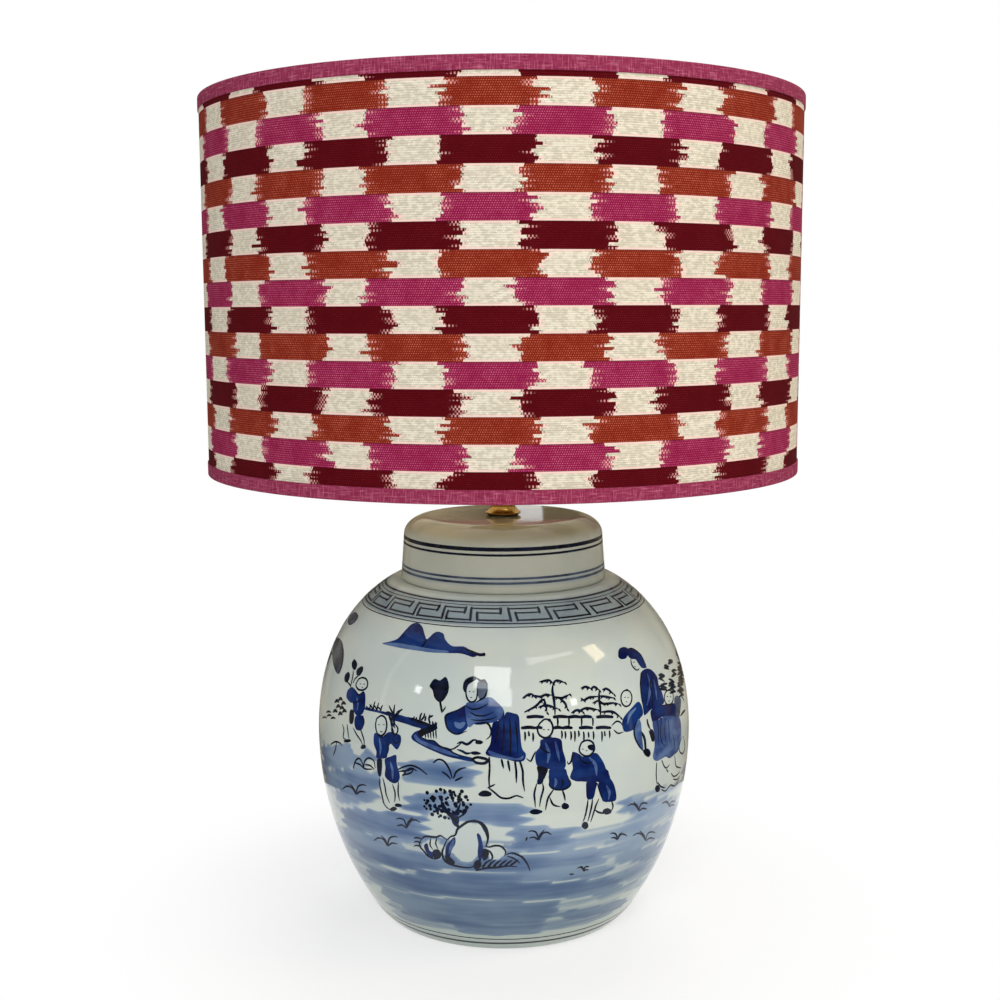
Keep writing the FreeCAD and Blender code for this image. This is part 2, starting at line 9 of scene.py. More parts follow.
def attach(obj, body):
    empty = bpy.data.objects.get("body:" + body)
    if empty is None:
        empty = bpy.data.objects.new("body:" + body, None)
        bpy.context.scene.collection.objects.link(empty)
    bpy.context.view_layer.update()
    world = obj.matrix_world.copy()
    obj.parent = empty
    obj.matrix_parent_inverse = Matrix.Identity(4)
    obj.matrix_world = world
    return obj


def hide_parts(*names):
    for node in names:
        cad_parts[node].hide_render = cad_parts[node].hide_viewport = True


# The ginger jar lamp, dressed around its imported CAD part. Metres, +Z up, the same frame as the
# CAD. Sizes named with _mm, and the painting's own coordinates, are millimetres.

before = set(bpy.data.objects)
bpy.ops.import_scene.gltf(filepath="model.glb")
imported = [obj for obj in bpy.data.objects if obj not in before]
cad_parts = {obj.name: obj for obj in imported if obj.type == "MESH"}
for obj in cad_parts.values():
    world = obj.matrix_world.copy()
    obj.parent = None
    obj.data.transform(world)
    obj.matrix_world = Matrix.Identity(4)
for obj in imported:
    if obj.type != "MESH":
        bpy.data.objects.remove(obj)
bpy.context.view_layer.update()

MM = 0.001



def add_object(name, data):
    item = bpy.data.objects.new(name, data)
    bpy.context.scene.collection.objects.link(item)
    return item


# --- camera, as the photograph was taken ------------------------------------------------

PHOTO_SIZE = 1000
CAMERA_PLACE_MM = (0.0, -1009.05, 421.57)
CAMERA_PITCH = math.radians(7.438)
CAMERA_ROLL = math.radians(0.22)
FOCAL_PX = 1460.8
CENTRE_PX = (503.0, 500.0)
SENSOR_MM = 36.0


def make_camera():
    data = bpy.data.cameras.new("camera")
    data.sensor_width = SENSOR_MM
    data.lens = FOCAL_PX / PHOTO_SIZE * SENSOR_MM
    data.shift_x = (PHOTO_SIZE / 2 - CENTRE_PX[0]) / PHOTO_SIZE
    camera = add_object("camera", data)
    pitch = Matrix.Rotation(math.pi / 2 - CAMERA_PITCH, 4, "X")
    roll = Matrix.Rotation(-CAMERA_ROLL, 4, "Z")
    place = Matrix.Translation(Vector(CAMERA_PLACE_MM) * MM)
    camera.matrix_world = place @ pitch @ roll
    bpy.context.scene.camera = camera


# --- shader writing ---------------------------------------------------------------------


def srgb(red, green, blue):
    """A colour given as 0 to 255 on a screen, as Blender's linear values."""
    parts = []
    for value in (red, green, blue):
        share = value / 255
        parts.append(share / 12.92 if share <= 0.04045 else ((share + 0.055) / 1.055) ** 2.4)
    return (*parts, 1.0)


class Signal:
    """A number worked out by a shader's nodes. Arithmetic on it adds more nodes."""

    def __init__(self, shader, socket):
        self.shader = shader
        self.socket = socket

    def __add__(self, other):
        return self.shader.math("ADD", self, other)

    def __sub__(self, other):
        return self.shader.math("SUBTRACT", self, other)

    def __rsub__(self, other):
        return self.shader.math("SUBTRACT", other, self)

    def __mul__(self, other):
        return self.shader.math("MULTIPLY", self, other)

    def __truediv__(self, other):
        return self.shader.math("DIVIDE", self, other)

    __radd__ = __add__
    __rmul__ = __mul__

    def floor(self):
        return self.shader.math("FLOOR", self)

    def fraction(self):
        return self.shader.math("FRACT", self)

    def size(self):
        return self.shader.math("ABSOLUTE", self)

    def wave(self):
        """A smooth wave from 0 to 1 that repeats with every whole number."""
        return self.shader.math("COSINE", self * math.tau) * 0.5 + 0.5

    def power(self, exponent):
        return self.shader.math("POWER", self, exponent)

    def above(self, limit):
        return self.shader.math("GREATER_THAN", self, limit)

    def largest(self, other):
        return self.shader.math("MAXIMUM", self, other)

    def smallest(self, other):
        return self.shader.math("MINIMUM", self, other)

    def rise(self, low, high):
        """0 up to low, 1 from high, smooth in between. low may be the greater."""
        node = self.shader.add("ShaderNodeMapRange", interpolation_type="SMOOTHSTEP")
        self.shader.join(node.inputs["Value"], self)
        node.inputs["From Min"].default_value = min(low, high)
        node.inputs["From Max"].default_value = max(low, high)
        node.inputs["To Min"].default_value = 0.0 if low < high else 1.0
        node.inputs["To Max"].default_value = 1.0 if low < high else 0.0
        return Signal(self.shader, node.outputs["Result"])


class Shader:
    """A procedural material, built node by node on one Principled shader."""

    def __init__(self, name, **constants):
        self.material = bpy.data.materials.new(name)
        self.material.use_nodes = True
        self.tree = self.material.node_tree
        self.surface = self.tree.nodes["Principled BSDF"]
        for socket, value in constants.items():
            self.surface.inputs[socket.replace("_", " ")].default_value = value

    def add(self, kind, **settings):
        node = self.tree.nodes.new(kind)
        for name, value in settings.items():
            setattr(node, name, value)
        return node

    def join(self, socket, value):
        if isinstance(value, Signal):
            value = value.socket
        if isinstance(value, bpy.types.NodeSocket):
            self.tree.links.new(value, socket)
        else:
            socket.default_value = value

    def math(self, operation, *values):
        node = self.add("ShaderNodeMath", operation=operation)
        for socket, value in zip(node.inputs, values):
            self.join(socket, value)
        return Signal(self, node.outputs["Value"])

    def place(self):
        """The point's place in the lamp at rest, in metres."""
        return self.add("ShaderNodeTexCoord").outputs["Object"]

    def attribute(self, name):
        return self.add("ShaderNodeAttribute", attribute_name=name).outputs["Vector"]

    def level(self, name):
        return Signal(self, self.add("ShaderNodeAttribute", attribute_name=name).outputs["Fac"])

    def split(self, vector):
        node = self.add("ShaderNodeSeparateXYZ")
        self.join(node.inputs[0], vector)
        return [Signal(self, output) for output in node.outputs]

    def bundle(self, x, y, z=0.0):
        node = self.add("ShaderNodeCombineXYZ")
        for socket, value in zip(node.inputs, (x, y, z)):
            self.join(socket, value)
        return node.outputs[0]

    def noise(self, where, scale, detail=2.0, stretch=(1, 1, 1), seed=0.0):
        """Smooth noise around 0.5. scale is in ripples per unit of where."""
        mapping = self.add("ShaderNodeMapping")
        self.join(mapping.inputs["Vector"], where)
        mapping.inputs["Location"].default_value = (seed, seed * 0.7, -seed)
        mapping.inputs["Scale"].default_value = stretch
        node = self.add("ShaderNodeTexNoise")
        self.join(node.inputs["Vector"], mapping.outputs["Vector"])
        node.inputs["Scale"].default_value = scale
        node.inputs["Detail"].default_value = detail
        return Signal(self, node.outputs["Fac"])

    def chance(self, x, y, z=0.0):
        """A random number from 0 to 1, the same all over one whole-numbered cell."""
        node = self.add("ShaderNodeTexWhiteNoise", noise_dimensions="3D")
        self.join(node.inputs["Vector"], self.bundle(x, y, z))
        return Signal(self, node.outputs["Value"])

    def blend(self, share, first, second):
        node = self.add("ShaderNodeMix", data_type="RGBA")
        self.join(node.inputs[0], share)
        self.join(node.inputs[6], first)
        self.join(node.inputs[7], second)
        return node.outputs[2]

    def colour(self, value):
        self.join(self.surface.inputs["Base Color"], value)

    def roughness(self, value):
        self.join(self.surface.inputs["Roughness"], value)

    def bump(self, height, depth_mm, strength=1.0):
        """Relief of depth_mm where height goes from 0 to 1."""
        node = self.add("ShaderNodeBump")
        node.inputs["Strength"].default_value = strength
        node.inputs["Distance"].default_value = depth_mm * MM
        self.join(node.inputs["Height"], height)
        self.join(self.surface.inputs["Normal"], node.outputs["Normal"])


def dress(piece, shader):
    """Gives the whole piece one material."""
    piece.data.materials.clear()
    piece.data.materials.append(shader.material)


# --- mesh making ------------------------------------------------------------------------


def new_piece(name, vertices, faces, body):
    """A mesh piece from points in millimetres, riding on a CAD body."""
    mesh = bpy.data.meshes.new(name)
    mesh.from_pydata([tuple(point) for point in np.asarray(vertices) * MM], [], faces)
    mesh.shade_smooth()
    piece = add_object(name, mesh)
    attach(piece, body)
    return piece


def store(piece, name, values):
    """Keeps one number, or one vector, for each point of the piece."""
    values = np.asarray(values, dtype=np.float32)
    kind = "FLOAT_VECTOR" if values.ndim == 2 else "FLOAT"
    layer = piece.data.attributes.new(name, kind, "POINT")
    layer.data.foreach_set("vector" if values.ndim == 2 else "value", values.ravel())


def turned(profile, segments):
    """A profile of (radius, height) points turned about Z from the back: its vertices and their numbers."""
    profile = np.asarray(profile, dtype=float)
    count = len(profile)
    turns = np.linspace(0, math.tau, segments, endpoint=False) + math.pi / 2
    vertices = np.empty((segments, count, 3))
    vertices[:, :, 0] = np.cos(turns)[:, None] * profile[:, 0]
    vertices[:, :, 1] = np.sin(turns)[:, None] * profile[:, 0]
    vertices[:, :, 2] = profile[:, 1]
    return vertices, np.arange(segments * count).reshape(segments, count)


def revolve(name, profile, segments, body, sharp=40.0):
    """A closed profile of (radius, height) points, turned about Z into a closed ring."""
    vertices, index = turned(profile, segments)
    beside = np.roll(index, -1, axis=0)
    faces = np.stack(
        [index, beside, np.roll(beside, -1, axis=1), np.roll(index, -1, axis=1)], axis=-1
    )
    piece = new_piece(name, vertices.reshape(-1, 3), faces.reshape(-1, 4).tolist(), body)
    piece.data.set_sharp_from_angle(angle=math.radians(sharp))
    return piece


def rounded(corners, steps=6):
    """Profile points through (radius, height, rounding) corners, each one rounded off."""
    points = []
    count = len(corners)
    for i, (x, y, rounding) in enumerate(corners):
        here = np.array((x, y))
        if rounding == 0:
            points.append(here)
            continue
        before = np.array(corners[i - 1][:2]) - here
        after = np.array(corners[(i + 1) % count][:2]) - here
        start = here + before / np.linalg.norm(before) * rounding
        end = here + after / np.linalg.norm(after) * rounding
        for t in np.linspace(0, 1, steps):
            points.append((1 - t) ** 2 * start + 2 * t * (1 - t) * here + t * t * end)
    return np.array(points)


def bezier(poles, t):
    poles = np.asarray(poles, dtype=float)
    t = np.asarray(t, dtype=float)[:, None]
    rest = 1 - t
    return rest**3 * poles[0] + 3 * rest**2 * t * poles[1] + 3 * rest * t**2 * poles[2] + t**3 * poles[3]


def step_up(value, low, high):
    """0 up to low, 1 from high, smooth in between."""
    share = np.clip((value - low) / (high - low), 0, 1)
    return share * share * (3 - 2 * share)


def part(name):
    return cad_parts[name]


# --- light, floor and background --------------------------------------------------------

WHITE = (1.0, 1.0, 1.0, 1.0)
WORLD_LIGHT = 0.25
GLINT_WATTS_PER_M2 = 40


def seen_directly(tree):
    """1 for rays from the camera, from a mirror or through glass, and 0 for light that bounces."""
    path = tree.nodes.new("ShaderNodeLightPath")
    total = path.outputs["Is Camera Ray"]
    for name in ("Is Glossy Ray", "Is Transmission Ray"):
        node = tree.nodes.new("ShaderNodeMath")
        node.operation = "MAXIMUM"
        tree.links.new(total, node.inputs[0])
        tree.links.new(path.outputs[name], node.inputs[1])
        total = node.outputs[0]
    return total


def make_world():
    world = bpy.data.worlds.new("studio")
    world.use_nodes = True
    tree = world.node_tree
    tree.nodes.clear()
    lighting = tree.nodes.new("ShaderNodeBackground")
    lighting.inputs["Color"].default_value = WHITE
    lighting.inputs["Strength"].default_value = WORLD_LIGHT
    backdrop = tree.nodes.new("ShaderNodeBackground")
    backdrop.inputs["Color"].default_value = WHITE
    backdrop.inputs["Strength"].default_value = 1.0
    mix = tree.nodes.new("ShaderNodeMixShader")
    tree.links.new(seen_directly(tree), mix.inputs[0])
    tree.links.new(lighting.outputs[0], mix.inputs[1])
    tree.links.new(backdrop.outputs[0], mix.inputs[2])
    output = tree.nodes.new("ShaderNodeOutputWorld")
    tree.links.new(mix.outputs[0], output.inputs["Surface"])
    bpy.context.scene.world = world


def make_floor():
    """A pale floor that holds the lamp's shadow and runs out into the white background."""
    size = 6.0
    mesh = bpy.data.meshes.new("floor")
    corners = [(-size, -size, 0), (size, -size, 0), (size, size, 0), (-size, size, 0)]
    mesh.from_pydata(corners, [], [(0, 1, 2, 3)])
    floor = add_object("floor", mesh)
    shader = Shader("floor", Roughness=0.9, Specular_IOR_Level=0.1)
    where = shader.place()
    x, y, _ = shader.split(where)
    distance = shader.math("SQRT", x * x + y * y)
    grain = shader.noise(where, 4.0)
    shader.colour(shader.blend(grain, (0.93, 0.93, 0.93, 1), (0.95, 0.95, 0.95, 1)))
    glow = shader.add("ShaderNodeEmission")
    glow.inputs["Color"].default_value = WHITE
    mix = shader.add("ShaderNodeMixShader")
    share = (distance.rise(0.12, 0.3) * 0.34 + 0.66) * Signal(shader, seen_directly(shader.tree))
    shader.join(mix.inputs[0], share)
    shader.join(mix.inputs[1], shader.surface.outputs[0])
    shader.join(mix.inputs[2], glow.outputs[0])
    shader.join(shader.tree.nodes["Material Output"].inputs["Surface"], mix.outputs[0])
    dress(floor, shader)


def soft_box(name, place, target, size, watts, colour=(1.0, 1.0, 1.0)):
    data = bpy.data.lights.new(name, "AREA")
    data.shape = "RECTANGLE"
    data.size, data.size_y = size
    data.energy = watts
    data.color = colour
    light = add_object(name, data)
    light.location = place
    light.rotation_euler = (Vector(target) - Vector(place)).to_track_quat("-Z", "Y").to_euler()


def make_lights():
    """A window of two panes behind the camera, a box overhead, a warm lamp at the right, a box behind,
    and three small lamps for the sparkles on the lid and the jar."""
    middle = (0, 0, 0.3)
    soft_box("upper_pane", (-0.38, -2.6, 2.08), middle, (1.2, 0.87), 28)
    soft_box("lower_pane", (-0.10, -2.6, 1.27), middle, (0.66, 0.53), 8)
    soft_box("top_box", (1.3, -1.6, 3.2), middle, (1.8, 1.4), 29)
    soft_box("warm_lamp", (2.3, -0.5, 2.1), middle, (0.7, 0.7), 15, (1.0, 0.80, 0.50))
    soft_box("back_box", (0.6, 2.4, 2.2), middle, (2.0, 1.4), 38)
    for name, place, size in (
        ("left_glint", (-2.02, -1.37, 1.07), 0.18),
        ("right_glint", (1.72, -1.82, 0.87), 0.18),
        ("far_glint", (0.95, 0.33, 0.94), 0.05),
    ):
        soft_box(name, place, middle, (size, size), GLINT_WATTS_PER_M2 * size * size)


ROOM_WALLS = [
    # name, radius and height in metres, first and last direction in degrees from the front
    ("room_front", 3.3, 4.5, -78, 78),
    ("room_left", 1.1, 1.6, -180.5, -78),
    ("room_right", 1.1, 1.6, 78, 177),
]


def make_room():
    """A dim warm room round the lamp, seen only in what the glaze and the brass mirror."""
    shader = Shader("dim_room", Roughness=0.9)
    tone = shader.noise(shader.place(), 2.6, detail=2.0).rise(0.42, 0.58)
    glow = shader.add("ShaderNodeEmission")
    shader.join(glow.inputs["Color"], shader.blend(tone, (0.34, 0.28, 0.19, 1), (0.11, 0.09, 0.06, 1)))
    shader.join(shader.tree.nodes["Material Output"].inputs["Surface"], glow.outputs[0])
    for name, radius, height, first, last in ROOM_WALLS:
        turns = np.radians(np.linspace(first, last, 48))
        rings = ((0.3, 0.002), (radius, 0.002), (radius, height))
        vertices = [(r * math.sin(turn), -r * math.cos(turn), z) for r, z in rings for turn in turns]
        count = len(turns)
        starts = [row * count + i for row in range(len(rings) - 1) for i in range(count - 1)]
        mesh = bpy.data.meshes.new(name)
        mesh.from_pydata(vertices, [], [(i, i + 1, i + 1 + count, i + count) for i in starts])
        wall = add_object(name, mesh)
        dress(wall, shader)
        wall.visible_camera = False
        wall.visible_diffuse = False
        wall.visible_shadow = False
        wall.visible_transmission = False


# --- cloth of the shade -----------------------------------------------------------------

SHADE_BOTTOM_MM = 313.0
SHADE_TOP_MM = 558.0
COVER_RADIUS_MM = 200.0
COVER_THICKNESS_MM = 0.6
COVER_STEP_MM = 2.0
SEAM_LAP_MM = 12.0
LAP_RISE_MM = 6.0
LAP_GAP_MM = 0.05
EDGE_ALLOWANCE_MM = 0.7
BINDING_HEIGHT_MM = 8.5


def strip_faces(columns, rows):
    """The outer side, the inner side and the rim of a strip whose points are numbered side by side."""
    outer, inner = np.arange(2 * columns * rows).reshape(2, columns, rows)
    faces = []
    for i in range(columns - 1):
        for j in range(rows - 1):
            faces.append((outer[i, j], outer[i + 1, j], outer[i + 1, j + 1], outer[i, j + 1]))
            faces.append((inner[i, j + 1], inner[i + 1, j + 1], inner[i + 1, j], inner[i, j]))
    rim = [(i, 0) for i in range(columns)]
    rim += [(columns - 1, j) for j in range(1, rows)]
    rim += [(i, rows - 1) for i in range(columns - 2, -1, -1)]
    rim += [(0, j) for j in range(rows - 2, 0, -1)]
    for a, b in zip(rim, rim[1:] + rim[:1]):
        faces.append((outer[b], outer[a], inner[a], inner[b]))
    return faces


def make_cover():
    """One strip of cloth wrapped round the frame, its end lapped over its start at the back."""
    middle = COVER_RADIUS_MM - COVER_THICKNESS_MM / 2
    length = math.tau * middle + SEAM_LAP_MM
    low = SHADE_BOTTOM_MM + EDGE_ALLOWANCE_MM
    high = SHADE_TOP_MM - EDGE_ALLOWANCE_MM
    along = np.append(np.arange(0, length, COVER_STEP_MM), length)
    heights = np.linspace(low, high, 9)
    lap_start = length - SEAM_LAP_MM
    lifted = step_up(along, lap_start - LAP_RISE_MM, lap_start) * (COVER_THICKNESS_MM + LAP_GAP_MM)
    turns = (along - length / 2) / middle - math.pi / 2
    sides = []
    for face in (1, -1):
        radius = middle + lifted + face * COVER_THICKNESS_MM / 2
        x = (radius * np.cos(turns))[:, None] + 0 * heights
        y = (radius * np.sin(turns))[:, None] + 0 * heights
        z = 0 * along[:, None] + heights
        sides.append(np.stack([x, y, z], axis=-1))
    vertices = np.array(sides)
    faces = strip_faces(*vertices.shape[1:3])
    piece = new_piece("ikat_cover", vertices.reshape(-1, 3), faces, "shade")
    piece.data.set_sharp_from_angle(angle=math.radians(40))
    cloth = np.zeros(vertices.shape)
    cloth[..., 0] = (along - length / 2)[:, None]
    cloth[..., 1] = heights - SHADE_BOTTOM_MM
    store(piece, "cloth", cloth.reshape(-1, 3))
    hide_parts("shade_cover")
    dress(piece, ikat_material())
    return piece, ((high - low) * MM, length * MM)


def make_binding(name, node, edge_mm, inward):
    """Linen tape folded over one edge of the shade. inward is -1 at the top edge, 1 at the bottom one."""
    corners = [
        # radius, distance from the shade's edge, rounding
        (200.7, 0.0, 1.1),
        (200.75, BINDING_HEIGHT_MM - 0.1, 0.35),
        (199.9, BINDING_HEIGHT_MM, 0),
        (195.6, BINDING_HEIGHT_MM, 0),
        (194.85, BINDING_HEIGHT_MM - 0.1, 0.3),
        (194.8, 0.0, 1.1),
    ]
    profile = rounded(corners)
    profile[:, 1] = edge_mm + inward * profile[:, 1]
    if inward < 0:
        profile = profile[::-1]
    piece = revolve(name, profile, 480, "shade", sharp=70)
    points = np.array([v.co for v in piece.data.vertices]) / MM
    angle = np.arctan2(points[:, 0], -points[:, 1])
    radius = np.hypot(points[:, 0], points[:, 1])
    tape = np.stack([angle * COVER_RADIUS_MM, points[:, 2], radius], axis=-1)
    store(piece, "tape", tape)
    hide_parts(node)
    return piece


IKAT_REPEATS = 15
IKAT_RADIUS_MM = 200.6
IKAT_PERIOD_MM = math.tau * IKAT_RADIUS_MM / IKAT_REPEATS
IKAT_ROW_MM = 15.33
IKAT_FIRST_ROW_TOP_MM = 233.2
IKAT_BLOCK_MM = 53.2
IKAT_BLOCK_CENTRE_MM = -6.5
THREAD_MM = IKAT_ROW_MM / 12
BUNDLE_MM = IKAT_ROW_MM / 8
FLECK_MM = 1.36


def ikat_material():
    """Warp-dyed check: rows of rust, magenta and burgundy blocks on cream, with ragged block ends."""
    shader = Shader("ikat_cloth", Roughness=0.9, Specular_IOR_Level=0.06)
    across, up, _ = shader.split(shader.attribute("cloth"))
    below_top = IKAT_FIRST_ROW_TOP_MM - up + IKAT_ROW_MM * 6
    row = (below_top / IKAT_ROW_MM).floor()
    in_row = below_top - row * IKAT_ROW_MM
    thread = (below_top / THREAD_MM).floor()
    tied = (below_top / BUNDLE_MM).floor()
    in_thread = (below_top / THREAD_MM).fraction()
    odd_row = shader.math("MODULO", row, 2.0)
    hue = shader.math("MODULO", row, 3.0)

    # the block that the point is nearest to, and how far inside its end the point lies
    step = (across - IKAT_BLOCK_CENTRE_MM) / IKAT_PERIOD_MM - odd_row * 0.5
    block = (step + 0.5).floor()
    offset = (step - block) * IKAT_PERIOD_MM
    side = offset.above(0.0)
    shift = shader.chance(block, hue, odd_row * 7.0 + side) * 4.0 - 2.0
    inside = IKAT_BLOCK_MM / 2 - offset.size() + shift

    # the threads were tied in bundles: each ends at its own length, a few run out far or stop short
    end = shader.chance(tied, block, side)
    ragged = (end - 0.5) * 4.2 + end.rise(0.88, 0.94) * 3.0 - end.rise(0.12, 0.06) * 2.4
    bow = in_row / IKAT_ROW_MM - 0.5
    ragged = ragged - bow * bow * 5.0 + 0.6
    depth = inside + ragged
    coloured = depth.rise(-0.15, 0.15)

    # horizontal edges stay crisp, with a pale thread on the cream and a dark one on the colour
    to_edge = in_row.smallest(IKAT_ROW_MM - in_row)
    pale_line = to_edge.rise(THREAD_MM * 1.15, THREAD_MM * 0.8)
    dark_line = in_row.rise(0.9, 0.3)

    # the weave: flecks in diagonals falling to the right, over ribs along each thread
    diagonal = across / FLECK_MM + thread * 0.37
    fleck = diagonal.wave() * (in_thread - 0.5).wave()
    patch = shader.noise(shader.attribute("cloth"), 0.09, seed=3.0)
    worn = shader.chance((across / FLECK_MM).floor(), thread, 5.0)
    fleck = fleck.power(1.4) * (patch.rise(0.25, 0.75) * 0.65 + 0.4) * (worn * 0.7 + 0.55)

    near_end = depth.rise(6.0, 0.5) * 0.5
    fleck = fleck * (near_end + 0.75)
    rust = shader.blend(fleck, srgb(126, 30, 14), srgb(236, 134, 104))
    magenta = shader.blend(fleck, srgb(140, 18, 66), srgb(240, 130, 166))
    burgundy = shader.blend(fleck, srgb(82, 2, 12), srgb(126, 34, 44))
    dye = shader.blend(hue.above(0.5), rust, magenta)
    dye = shader.blend(hue.above(1.5), dye, burgundy)
    dye = shader.blend(dark_line * 0.55, dye, srgb(64, 8, 12))

    dimple = shader.noise(shader.attribute("cloth"), 0.42, detail=3.0, stretch=(0.8, 1.3, 1), seed=8.0)
    cloudy = shader.noise(shader.attribute("cloth"), 0.12, stretch=(0.4, 1, 1), seed=12.0)
    rib = (in_thread - 0.5).wave() * 0.3 + fleck * 0.3 + dimple.rise(0.6, 0.38) * 0.4
    cream = shader.blend(rib, srgb(196, 186, 164), srgb(255, 248, 230))
    cream = shader.blend(cloudy.rise(0.45, 0.7) * 0.35, cream, srgb(220, 209, 188))
    blush = depth.rise(-4.5, -0.5) * shader.chance(thread, block, 11.0).rise(0.35, 0.6)
    blush = blush.largest(pale_line) * 0.8
    cream = shader.blend(blush, cream, srgb(250, 214, 203))

    # near the ends, slivers of undyed thread in the colour and dark dots on the cream
    dots = (across / 2.1 + thread * 0.5).wave().rise(0.45, 0.75)
    tip = depth.rise(-2.6, -0.4) * (1.0 - coloured) * shader.chance(thread, block, 17.0).above(0.45)
    cream = shader.blend(tip * dots * 0.85, cream, srgb(66, 30, 26))
    sliver = depth.rise(7.5, 2.0) * shader.chance(thread, block, 23.0).above(0.66) * dots
    dye = shader.blend(sliver * 0.8, dye, srgb(244, 178, 172))

    shader.colour(shader.blend(coloured, cream, dye))
    relief = (in_thread - 0.5).wave() * 0.35 + diagonal.wave() * 0.25 + dimple * 0.4
    shader.bump(relief, 0.12, 0.7)
    return shader


def linen_material():
    shader = Shader("binding_linen", Roughness=0.9, Specular_IOR_Level=0.08)
    tape = shader.attribute("tape")
    along, up, out = shader.split(tape)
    across = up + out
    slub = shader.noise(tape, 0.9, detail=3.0, stretch=(0.12, 1.4, 1.4), seed=2.0)
    pick = shader.noise(tape, 1.0, detail=2.0, stretch=(1.5, 0.12, 0.12), seed=5.0)
    weave = (along / 0.7).wave() * (across / 0.7).wave()
    light = slub.rise(0.5, 0.72) * 0.5 + pick.rise(0.48, 0.72) * 0.5 + weave * 0.18
    dark = shader.noise(tape, 0.6, detail=2.0, stretch=(0.4, 1, 1), seed=9.0).rise(0.52, 0.72)
    base = shader.blend(light, srgb(142, 40, 76), srgb(204, 116, 142))
    shader.colour(shader.blend(dark * 0.5, base, srgb(104, 20, 54)))
    shader.bump(weave * 0.5 + slub * 0.5, 0.15, 0.7)
    return shader


# --- the jar's wall, as in the CAD ------------------------------------------------------

BELLY_RADIUS_MM = 130.4
LOWER_WALL = [(86.2, 1.0), (89.0, 1.0), (130.4, 52.5), (130.4, 130.5)]
UPPER_WALL = [(130.4, 130.5), (130.4, 194.3), (100.17, 224.19), (77.5, 236.5)]
LEDGE_MM = 236.5
JAR_WALL_MM = 5.0
JAR_SEGMENTS = 448
BELLY_SHIFT_PX = 2.8
JAR_TOP_PX = 585
JAR_HEIGHT_PX = 370
RAY_STEPS_MM = np.linspace(840, 1160, 1601)
NECK_RADIUS_MM = 63.0
NECK_TOP_MM = 261.5
FOOT_RECESS_RADIUS_MM = 78.2
CORD_HOLE_MM = (0.0, 105.145, 33.011)
CORD_HOLE_SLOPE = (0.0, 0.893382, -0.449298)
CORD_HOLE_RADIUS_MM = 6.5
DRILL_LENGTH_MM = 40

WALL = np.vstack([bezier(LOWER_WALL, np.linspace(0, 1, 400)), bezier(UPPER_WALL, np.linspace(0, 1, 400))[1:]])
WALL_RUN = np.append(0, np.cumsum(np.hypot(*np.diff(WALL, axis=0).T)))
WALL_SLOPE = np.gradient(WALL[:, 0], WALL_RUN), np.gradient(WALL[:, 1], WALL_RUN)


def wall_radius(height):
    return np.interp(height, WALL[:, 1], WALL[:, 0])


def wall_normal(height):
    """The wall's outward direction at a height, as its share outwards and its share upwards."""
    outwards = np.interp(height, WALL[:, 1], WALL_SLOPE[1])
    upwards = -np.interp(height, WALL[:, 1], WALL_SLOPE[0])
    length = np.hypot(outwards, upwards)
    return outwards / length, upwards / length


def on_wall(places, lift):
    """Points in millimetres, lift off the glaze, and their normals, for (mm round the belly, height)."""
    angle = places[:, 0] / BELLY_RADIUS_MM
    outwards, upwards = wall_normal(places[:, 1])
    radius = wall_radius(places[:, 1]) + lift * outwards
    x, y = np.sin(angle), -np.cos(angle)
    points = np.stack([radius * x, radius * y, places[:, 1] + lift * upwards], axis=-1)
    normals = np.stack([outwards * x, outwards * y, upwards], axis=-1)
    return points, normals


def photo_to_wall(pixels):
    """Where the jar's wall shows at pixels of the photograph, as (mm round the belly, height)."""
    pixels = np.array(pixels, dtype=float)
    # the photographed jar's belly lies a little to the right of its foot and lid
    down = np.clip((pixels[:, 1] - JAR_TOP_PX) / JAR_HEIGHT_PX, 0, 1)
    pixels[:, 0] -= BELLY_SHIFT_PX * np.sin(math.pi * down)
    x, y = (pixels - CENTRE_PX).T
    turn, tip = CAMERA_ROLL, CAMERA_PITCH
    x, y = x * math.cos(turn) - y * math.sin(turn), x * math.sin(turn) + y * math.cos(turn)
    ray = np.stack(
        [
            x,
            FOCAL_PX * math.cos(tip) - y * math.sin(tip),
            -y * math.cos(tip) - FOCAL_PX * math.sin(tip),
        ],
        axis=-1,
    )
    ray /= np.linalg.norm(ray, axis=1)[:, None]
    points = np.array(CAMERA_PLACE_MM) + RAY_STEPS_MM[None, :, None] * ray[:, None, :]
    room = np.hypot(points[..., 0], points[..., 1]) - wall_radius(points[..., 2])
    first = np.where((room <= 0).any(axis=1), (room <= 0).argmax(axis=1), room.argmin(axis=1))
    # a ray that passes beside the jar counts where it comes nearest
    hit = points[np.arange(len(pixels)), first]
    angle = np.arctan2(hit[:, 0], -hit[:, 1])
    return np.stack([angle * BELLY_RADIUS_MM, np.clip(hit[:, 2], 1.5, 236)], axis=-1)


# --- the painting on the jar ------------------------------------------------------------

# How far each tone's skin stands off the glaze, so that the darker one covers the lighter.
TONE_LIFT_MM = {"slate": 0.03, "cobalt": 0.05, "mid": 0.07, "ink": 0.09}
SKIN_DEPTH_MM = 0.05
BRUSH_MM = 1.45
STROKE_STEP_MM = 1.2
FILL_GRID_MM = 3.0


